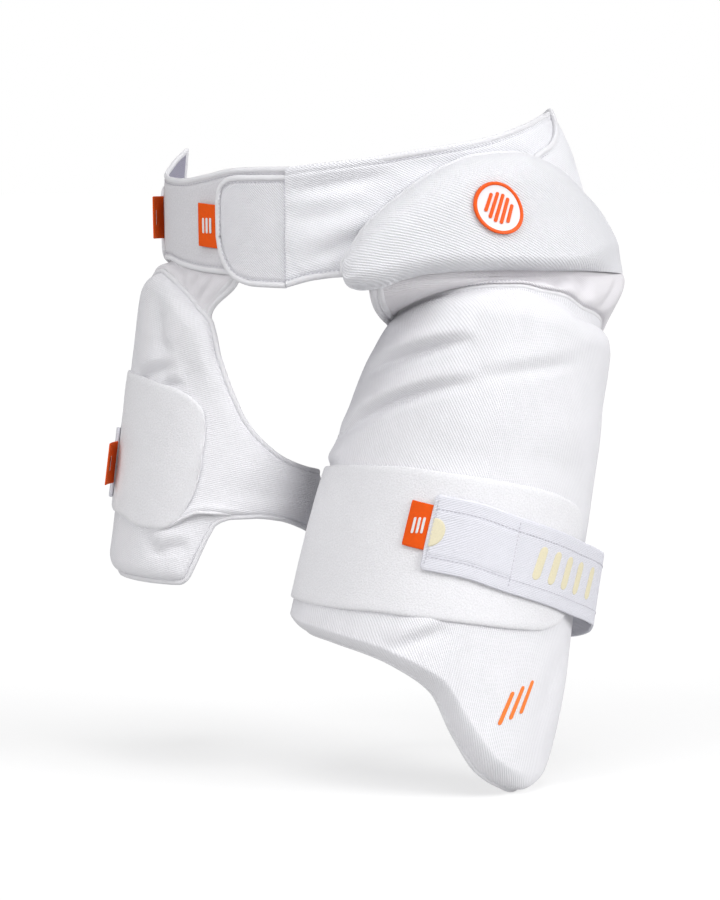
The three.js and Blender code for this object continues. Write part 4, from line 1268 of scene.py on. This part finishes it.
def fold_map(middle, share):
    """Places along and down a cloth on its map, which starts at 0 and runs along and down."""
    u = np.broadcast_to(share[:, None] * MAP_ALONG, middle.shape[:2])
    return u, np.broadcast_to(-np.linspace(0, MAP_DOWN, middle.shape[1]), u.shape)


def faces_of(middle, thickness, press):
    """A cloth's two faces, half its thickness along the normal on either side of its middle,
    which is pressed out by its folds first."""
    across, down = np.gradient(middle, axis=0), np.gradient(middle, axis=1)
    normal = unit(np.cross(down, across))
    lift = press[..., None]
    return middle + normal * (thickness / 2 + lift), middle + normal * (lift - thickness / 2)


def surface_path(grid, other):
    """A path along a line of a cloth's grid, with the way out of it away from the other line."""
    way = unit(np.gradient(grid, axis=0))
    out = grid - other
    out = unit(out - (out * way).sum(axis=-1, keepdims=True) * way)
    return grid, way, out, np.cross(way, out)


share = np.linspace(0, 1, 170)
waist_turn, thigh_turn = along(SKIRT_PLAN, share, 1), along(SKIRT_PLAN, share, 2)
skirt_edge = thigh_top_edge(thigh_turn)
under_pad = (THIGH_LINER - LAYER_GAP) / 2
skirt_pull = 0.1 * ramp(share, 0.42, 0.75)
skirt_middle = bridge(
    [seat(waist, waist_turn, PANEL_FOOT - SKIRT_TAKE_OFF, SKIRT_LIFT),
     seat(waist, waist_turn, BELT_FOOT - SKIRT_CLOTH,
          SKIRT_LIFT + SKIRT_STAND * ramp(waist_turn, 40, 75))],
    [seat(left_thigh, thigh_turn, skirt_edge + z, lift + thigh_flare(thigh_turn, skirt_edge + z))
     for z, lift in ((SKIRT_ARRIVAL, under_pad + SKIRT_ARRIVAL_LIFT), (-SKIRT_LAP, under_pad))],
    SKIRT_FULLNESS * along(SKIRT_PLAN, share, 3), 0.9 - skirt_pull, 0.25 + skirt_pull)
skirt_u, skirt_v = fold_map(skirt_middle, share)
skirt_press = folds(skirt_u, skirt_v, SKIRT_FOLDS) + 0.3 * ripple(skirt_u, skirt_v, 16, 5)
inside = ramp(skirt_v, -MAP_DOWN, -38) * ramp(-skirt_v, 0, 8)
skirt_outer, skirt_inner = faces_of(skirt_middle, SKIRT_CLOTH, skirt_press * inside)
skirt_cloth = closed_sheet("skirt_cloth", skirt_outer, skirt_inner, [skirt_mesh, shaded_lining_knit])
dress(skirt_cloth, ["hip_skirt"])
skirt_sewn = skirt_outer[SKIRT_SEWN_COLUMNS]
stitches("skirt_stitches", [surface_path(skirt_sewn[:, 42], skirt_sewn[:, 43])], thread,
         length=1.8, gap=1.1, width=0.4)
skirt_rim = surface_path(skirt_middle[0], skirt_middle[1])
for name, inset in (("skirt_edge", 2.2), ("skirt_edge_inner", 7)):
    edging(name, skirt_rim, roll(2.5, 1.7, inset))

share = np.linspace(0, 1, 100)
waist_turn, thigh_turn = along(GUSSET_PLAN, share, 1), along(GUSSET_PLAN, share, 2)
panel_foot = BELT_HEIGHT * along(hip_panel.plan, waist_turn, 2)
inner_edge = INNER_TOP - INNER_LENGTH * along(inner_guard.plan, thigh_turn, 1)
behind_panel = -LAYER_GAP - GUSSET_CLOTH / 2
gusset_middle = bridge(
    [seat(waist, waist_turn, panel_foot + z, behind_panel) for z in (GUSSET_LAP, -GUSSET_CLOTH)],
    [seat(right_thigh, thigh_turn, inner_edge + z, (INNER_LINER - LAYER_GAP) / 2 + lift)
     for z, lift in ((GUSSET_ARRIVAL, GUSSET_ARRIVAL_LIFT), (-GUSSET_LAP, 0))],
    *np.ones((3, len(share))))
gusset_u, gusset_v = fold_map(gusset_middle, share)
gusset_press = folds(gusset_u, gusset_v, GUSSET_FOLDS)
inside = ramp(gusset_v, -MAP_DOWN, -40) * ramp(-gusset_v, 0, 8)
gusset_outer, gusset_inner = faces_of(gusset_middle, GUSSET_CLOTH, gusset_press * inside)
gusset_cloth = closed_sheet("gusset_cloth", gusset_outer, gusset_inner,
                            [gusset_knit, shaded_lining_knit])
dress(gusset_cloth, ["gusset"])
gusset_rim = surface_path(gusset_middle[-1, ::-1], gusset_middle[-2, ::-1])
for name, inset in (("gusset_edge", 1.6), ("gusset_edge_inner", 5.4)):
    edging(name, gusset_rim, roll(2, 1.5, inset))


# Thigh pad, with its piping

thigh_pad.grid(170, 190, 0.45)
thigh_distance = thigh_pad.edge_distance(("start", "end"))
thigh_foot_distance = thigh_pad.edge_distance(("bottom",))
thigh_top_distance = thigh_pad.edge_distance(("top",))
thigh_press = (folds_on(thigh_pad, THIGH_FOLDS, per_degree(LEFT_THIGH_HALF), THIGH_TOP,
                        THIGH_LENGTH)
               + 0.5 * ripple(thigh_pad.arc, thigh_pad.z, 60, 8))
dome = THIGH_BEVEL + 30 * ramp(-thigh_pad.turn, 10, 75)
thigh_flat = along(THIGH_BAND, thigh_pad.turn, 2)
foot_round = ramp(thigh_pad.turn, 35, 60)
thigh_foot = (shoulder(thigh_foot_distance, 10, 1.3) * (1 - foot_round)
              + shoulder(thigh_foot_distance, 14, 2.6) * foot_round)
thigh_rise = (shoulder(thigh_distance, THIGH_BEVEL, 2.4)
              * thigh_foot
              * shoulder(thigh_top_distance - thigh_flat, dome, 1.8))
thigh_back = THIGH_LINER + thigh_flare(thigh_pad.turn, thigh_pad.z)
thigh_lift = thigh_back + THIGH_EDGE + (THIGH_THICK - THIGH_EDGE + thigh_press) * thigh_rise
thigh_cover = closed_sheet(
    "thigh_pad_cover", left_thigh(thigh_pad.turn, thigh_pad.z, thigh_lift),
    left_thigh(thigh_pad.turn, thigh_pad.z, thigh_back), [thigh_mesh, shaded_lining_knit])
dress(thigh_cover, ["thigh_pad"])
edging("thigh_pad_piping",
       thigh_pad.rim(["end", "bottom", "start", "top"],
                     lambda turn, z: THIGH_LINER + THIGH_EDGE / 2 + thigh_flare(turn, z)),
       roll(1.9, 2.1, 0.1))

thigh_loop.grid(140, 80, 0.3)
loop_wave = 0.3 * ripple(thigh_loop.arc, thigh_loop.z, 30, 2)
loop_low = THIGH_FACE + LAYER_GAP
loop_puff = 0.7 * shoulder(thigh_loop.edge_distance(), 5) - 0.6
thigh_loop_cloth = closed_sheet(
    "thigh_loop_cloth",
    left_thigh(thigh_loop.turn, thigh_loop.z, loop_low + LOOP_CLOTH + loop_wave + loop_puff),
    left_thigh(thigh_loop.turn, thigh_loop.z, loop_low - LOOP_SINK), [loop_cloth])
dress(thigh_loop_cloth, ["thigh_loop_panel"])


# Straps


def strap_lift(path, low, high):
    """Lift along a strap's path, which gives its share of the way from low to high."""
    return lambda turn, z=0: low + (high - low) * along(path, turn, 2)


def strap_piece(name, strip, lift, columns, node, form):
    """Elastic webbing: a strip between its lift and its thickness above it."""
    strip.grid(columns, 26, 0.1)
    low = lift(strip.turn)
    piece = closed_sheet(name, form(strip.turn, strip.z, low + STRAP_THICK),
                         form(strip.turn, strip.z, low), [webbing])
    return dress(piece, [node])


thigh_strap = strap_strip(left_thigh, THIGH_STRAP_PATH, THIGH_TOP, THIGH_LENGTH, ("end",))
thigh_strap_lift = strap_lift(THIGH_STRAP_PATH, 0.2, THIGH_STRAP_LIFT)
strap_piece("thigh_strap_webbing", thigh_strap, thigh_strap_lift, 300, "thigh_strap", left_thigh)
inner_strap = strap_strip(right_thigh, INNER_STRAP_PATH, INNER_TOP, INNER_LENGTH, ())
INNER_STRAP_LIFT = on_inner_guard(-90) + LAYER_GAP + LOOP_CLOTH
inner_strap_lift = strap_lift(INNER_STRAP_PATH, INNER_LINER, INNER_STRAP_LIFT)
strap_piece("inner_strap_webbing", inner_strap, inner_strap_lift, 260, "inner_strap", right_thigh)


def strap_middle(turn):
    """Height of the thigh strap's middle line."""
    return THIGH_TOP - THIGH_LENGTH * along(THIGH_STRAP_PATH, turn)


def strap_line(turns, offset, rise):
    """A path on the thigh strap's face at an offset from its middle line."""
    return path_on(left_thigh, turns, strap_middle(turns) + offset,
                   lambda turn, z: thigh_strap_lift(turn) + STRAP_THICK + rise)


PATCH_FROM, PATCH_TO, PATCH_HALF, PATCH_RISE = -9.5, 24.5, 15.5, 0.2
PRINT_TURNS = (37, 45.5, 54, 63, 73)
patch_turns = np.linspace(PATCH_FROM, PATCH_TO, 60)
patch_offsets = np.linspace(PATCH_HALF, -PATCH_HALF, 10)
patch_grid, patch_under = [
    np.stack([strap_line(patch_turns, offset, rise)[0] for offset in patch_offsets], axis=1)
    for rise in (PATCH_RISE, -PATCH_RISE)]
hook_patch = closed_sheet("strap_hook_patch", patch_grid, patch_under, [webbing])
cross_offsets = np.linspace(-22, 22, 40)


def strap_cross(turn):
    """A path straight across the thigh strap's face at a turn."""
    return strap_line(np.full(len(cross_offsets), float(turn)), cross_offsets, 0.25)


long_turns = np.linspace(PATCH_FROM - 0.3, 100, 240)
stitches("strap_stitches", [
    strap_line(long_turns, PATCH_HALF + 1, 0.15), strap_line(long_turns, -PATCH_HALF - 1, 0.15),
    strap_cross(PATCH_TO - 0.3), strap_cross(PATCH_FROM - 0.4),
], thread, length=2.0, gap=0.9, width=0.3)

half_disc_points, half_disc_faces = pill(0, 10, 0.18, sides=48)
half_disc_points[:, 0] = np.maximum(half_disc_points[:, 0], 0)


def strap_mark(name, turn, shape, rise, material):
    """A printed shape on the strap's face, at a turn on its middle line."""
    mark = along_surface(name, left_thigh, turn, strap_middle(turn),
                         lambda at: thigh_strap_lift(at) + STRAP_THICK + rise, *shape, [material])


strap_mark("strap_half_disc", -10.2, (half_disc_points, half_disc_faces), 0.2, beige_ink)
for count, turn in enumerate(PRINT_TURNS):
    strap_mark(f"strap_print_{count}", turn, pill(7.5, 4, 0.12, 0.2), 0.06, beige_ink)

TIP_MARK_TURN, TIP_MARK_HEIGHT, TIP_MARK_STEP = 40, -344, 9
tip_strokes = several([pill(10, 1.8, 0.25, 0.3, x, x / 3)
                       for x in (-TIP_MARK_STEP, 0, TIP_MARK_STEP)])
tip_mark = along_surface("pad_mark", left_thigh, TIP_MARK_TURN, TIP_MARK_HEIGHT,
                         THIGH_FACE + 0.2, *tip_strokes, [orange_ink])


# Guard round the right thigh, whose wing ends over the pad in a rolled hem

# Turn and the hem's drop, as a share of the guard's length
HEM_LINE = np.array([
    [-44, 0.85],
    [-35, 0.83],
    [-26, 0.817],
    [-17, 0.785],
    [-9, 0.768],
    [3.5, 0.772],
    [16, 0.787],
    [90, 0.9],
])
HEM_STEP, HEM_FROM, HEM_TO = 3, -33, 9


def inner_hem_level(turn):
    """Height of the hem."""
    return INNER_TOP - INNER_LENGTH * along(HEM_LINE, turn)


inner_guard.grid(210, 160, 0.3)
guard_distance = inner_guard.edge_distance() - 2
guard_build = along(INNER_BUILD, inner_guard.turn)
guard_press = folds_on(inner_guard, INNER_FOLDS, per_degree(RIGHT_THIGH_HALF), INNER_TOP,
                       INNER_LENGTH)
guard_press = (np.maximum(guard_press, -4.5 * guard_build - 1)
               + 0.35 * ripple(inner_guard.arc, inner_guard.z, 40, 6))
below_hem = inner_hem_level(inner_guard.turn) - inner_guard.z
hem_share = ramp(inner_guard.turn, -42, -26)
guard_press += hem_share * (1.2 * np.exp(-(((below_hem + 3) / 2.6) ** 2))
                            - HEM_STEP * ramp(below_hem, -0.5, 1.5) * (1 - ramp(below_hem, 5, 40)))
guard_lift = (inner_face(inner_guard.turn, guard_distance)
              + guard_press * shoulder(guard_distance, INNER_BEVEL))
guard_cover = closed_sheet(
    "inner_guard_cover", right_thigh(inner_guard.turn, inner_guard.z, guard_lift),
    right_thigh(inner_guard.turn, inner_guard.z, INNER_LINER), [inner_mesh, shaded_lining_knit],
    flat=np.stack([inner_guard.arc, inner_guard.z], -1) * MM)
dress(guard_cover, ["inner_pad", "inner_wing"])
edging("inner_guard_piping",
       inner_guard.rim(["end", "bottom", "start", "top"], INNER_LINER + INNER_EDGE / 2),
       roll(2.0, 2.1, 0.2))
hem_turns = np.linspace(HEM_FROM, HEM_TO, 120)
hem_lift = (inner_face(hem_turns, INNER_BEVEL) + 0.6 - 2.4 * ramp(-hem_turns, 22, -HEM_FROM)
            - 3.5 * ramp(hem_turns, -4, HEM_TO))
hem_path = path_on(right_thigh, hem_turns, inner_hem_level(hem_turns), hem_lift)
edging("inner_guard_hem", hem_path, roll(1.2, 1.2, 0))

inner_loop.grid(90, 80, 0.3)
inner_low = on_inner_guard(inner_loop.turn)
inner_wave = 0.3 * ripple(inner_loop.arc, inner_loop.z, 26, 4)
inner_puff = 0.6 * shoulder(inner_loop.edge_distance(), 4) - 0.5
inner_loop_cloth = closed_sheet(
    "inner_loop_cloth",
    right_thigh(inner_loop.turn, inner_loop.z, inner_low + LOOP_CLOTH + inner_wave + inner_puff),
    right_thigh(inner_loop.turn, inner_loop.z, inner_low - LOOP_SINK), [loop_cloth])
dress(inner_loop_cloth, ["inner_loop_panel"])


# Tags: woven tape sewn to the end of a tab or strap, with three plain woven bars

BAR_PLACES, BAR_HALF_LENGTH, BAR_HALF_WIDTH, BAR_RISE = (-3.4, 0, 3.4), 4.6, 0.95, 0.25


def tag_piece(name, node, form, turn, z, lift, way=-1, slant=0, flare=0):
    """A strip from its seam over its width, dropping by slant and standing off by flare."""
    degree = np.linalg.norm(form(turn + 1, z, lift) - form(turn, z, lift))
    free = turn + way * TAG_WIDTH / degree
    near, far = min(turn, free), max(turn, free)
    drops = [slant * (at - turn) / (free - turn) for at in (near, far)]
    strip = Strip(form, [[at, z + TAG_HEIGHT / 2 - drop, z - TAG_HEIGHT / 2 - drop]
                         for at, drop in zip((near, far), drops)])
    strip.grid(20, 24, 0.2)
    stand = lift + flare * (strip.turn - turn) / (free - turn)
    bow = 0.5 * np.sin(np.pi * (strip.turn - near) / (far - near))
    piece = closed_sheet(name, form(strip.turn, strip.z, stand + TAG_THICK + bow),
                         form(strip.turn, strip.z, stand + bow), [orange_tape])
    dress(piece, [node])
    middle = (turn + free) / 2
    shapes = several([pill(BAR_HALF_LENGTH, BAR_HALF_WIDTH, BAR_RISE, x=x) for x in BAR_PLACES])
    bars = along_surface(name + "_bars", form, middle, z - slant / 2,
                         lift + flare / 2 + TAG_THICK + 0.5, *shapes, [white_thread])


tag_piece("belt_tab_tag", "front_belt_tag", waist, belt_tab.plan[0, 0], -0.115 * BELT_HEIGHT,
          TAB_LIFT, slant=-0.1 * TAG_WIDTH, flare=0.06 * TAG_WIDTH)
tag_piece("rear_tab_tag", "rear_belt_tag", waist, rear_tab.plan[-1, 0], -0.05 * BELT_HEIGHT,
          TAB_LIFT, way=1, flare=0.4 * TAG_WIDTH)
tag_piece("thigh_tag", "thigh_strap_tag", left_thigh, THIGH_STRAP_PATH[0, 0],
          THIGH_TOP - 0.456 * THIGH_LENGTH, THIGH_STRAP_LIFT, slant=-0.2 * TAG_WIDTH)
tag_piece("inner_tag", "inner_strap_tag", right_thigh, INNER_STRAP_PATH[-1, 0],
          INNER_TOP - 0.635 * INNER_LENGTH, INNER_STRAP_LIFT, way=1, flare=0.53 * TAG_WIDTH)


# Floor, light and camera


def plain(name, colour, seen_glow, thrown_glow):
    """The floor's paint: pale, matt and faintly clouded, with a light of its own that throws
    less on the guard than is seen."""
    finish = Finish(name, roughness=0.9, **{"Emission Color": (1, 1, 1, 1)})
    clouds = finish.specks(finish.add("TexCoord", {}, "Object"), 900)
    tone = finish.blend(clouds, shade(colour, 0.995), colour)
    seen_floor = finish.add("LightPath", {}, "Is Camera Ray")
    glow = finish.level(seen_floor, 0, 1, thrown_glow, seen_glow)
    finish.feed(finish.shader, {"Base Color": tone, "Emission Strength": glow})
    return finish.material


# In metres: the play under the guard's lowest point, the floor's side and its middle
FLOOR_PLAY, FLOOR_SIDE, FLOOR_MIDDLE = 0.0015, 60, 20
FLOOR_SEEN, FLOOR_THROWN = 0.67, 0.3
bpy.ops.mesh.primitive_plane_add(size=FLOOR_SIDE,
                                 location=(0, FLOOR_MIDDLE, cad_box[0].z - FLOOR_PLAY))
floor = bpy.context.object
floor.name = "floor"
floor.data.materials.append(plain("pale_floor", FLOOR_GREY, FLOOR_SEEN, FLOOR_THROWN))

ROOM_TINT, ROOM_GLOW = (0.96, 0.965, 1, 1), 0.12
world = bpy.data.worlds.new("soft_room")
bpy.context.scene.world = world
world.use_nodes = True
room = world.node_tree
fill = room.nodes["Background"]
fill.inputs["Color"].default_value = ROOM_TINT
fill.inputs["Strength"].default_value = ROOM_GLOW
backdrop = room.nodes.new("ShaderNodeBackground")
backdrop.inputs["Color"].default_value = (1, 1, 1, 1)
seen = room.nodes.new("ShaderNodeLightPath")
either = room.nodes.new("ShaderNodeMixShader")
room.links.new(seen.outputs["Is Camera Ray"], either.inputs[0])
room.links.new(fill.outputs[0], either.inputs[1])
room.links.new(backdrop.outputs[0], either.inputs[2])
room.links.new(either.outputs[0], room.nodes["World Output"].inputs["Surface"])


SUN_SPREAD = 35


def soft_sun(name, azimuth, elevation, strength):
    """A broad light from a direction: azimuth 0 is the camera's side, + to the right."""
    light = bpy.data.lights.new(name, "SUN")
    light.energy, light.angle = strength, SUN_SPREAD * DEG
    lamp = bpy.data.objects.new(name, light)
    lamp.rotation_euler = ((90 - elevation) * DEG, 0, azimuth * DEG)
    bpy.context.scene.collection.objects.link(lamp)


soft_sun("right_box", 62, 26, 2.45)
soft_sun("left_box", -48, 24, 1.35)
soft_sun("top_box", 0, 62, 1.3)

# The camera stands 2.4 m in front of the guard and looks down on it by 5 degrees.
CAMERA_PLACE, CAMERA_TILT = (-0.009685, -2.390867, 0.031864), 85
SENSOR_WIDTH, FOCAL_LENGTH, CLIP_END = 36, 128.86, 100
camera_data = bpy.data.cameras.new("camera")
camera_data.sensor_width, camera_data.lens = SENSOR_WIDTH, FOCAL_LENGTH
camera = bpy.data.objects.new("camera", camera_data)
camera.location = CAMERA_PLACE
camera.rotation_euler = (CAMERA_TILT * DEG, 0, 0)
camera_data.clip_end = CLIP_END
bpy.context.scene.collection.objects.link(camera)
bpy.context.scene.camera = camera
bpy.context.scene.view_settings.view_transform = "Standard"
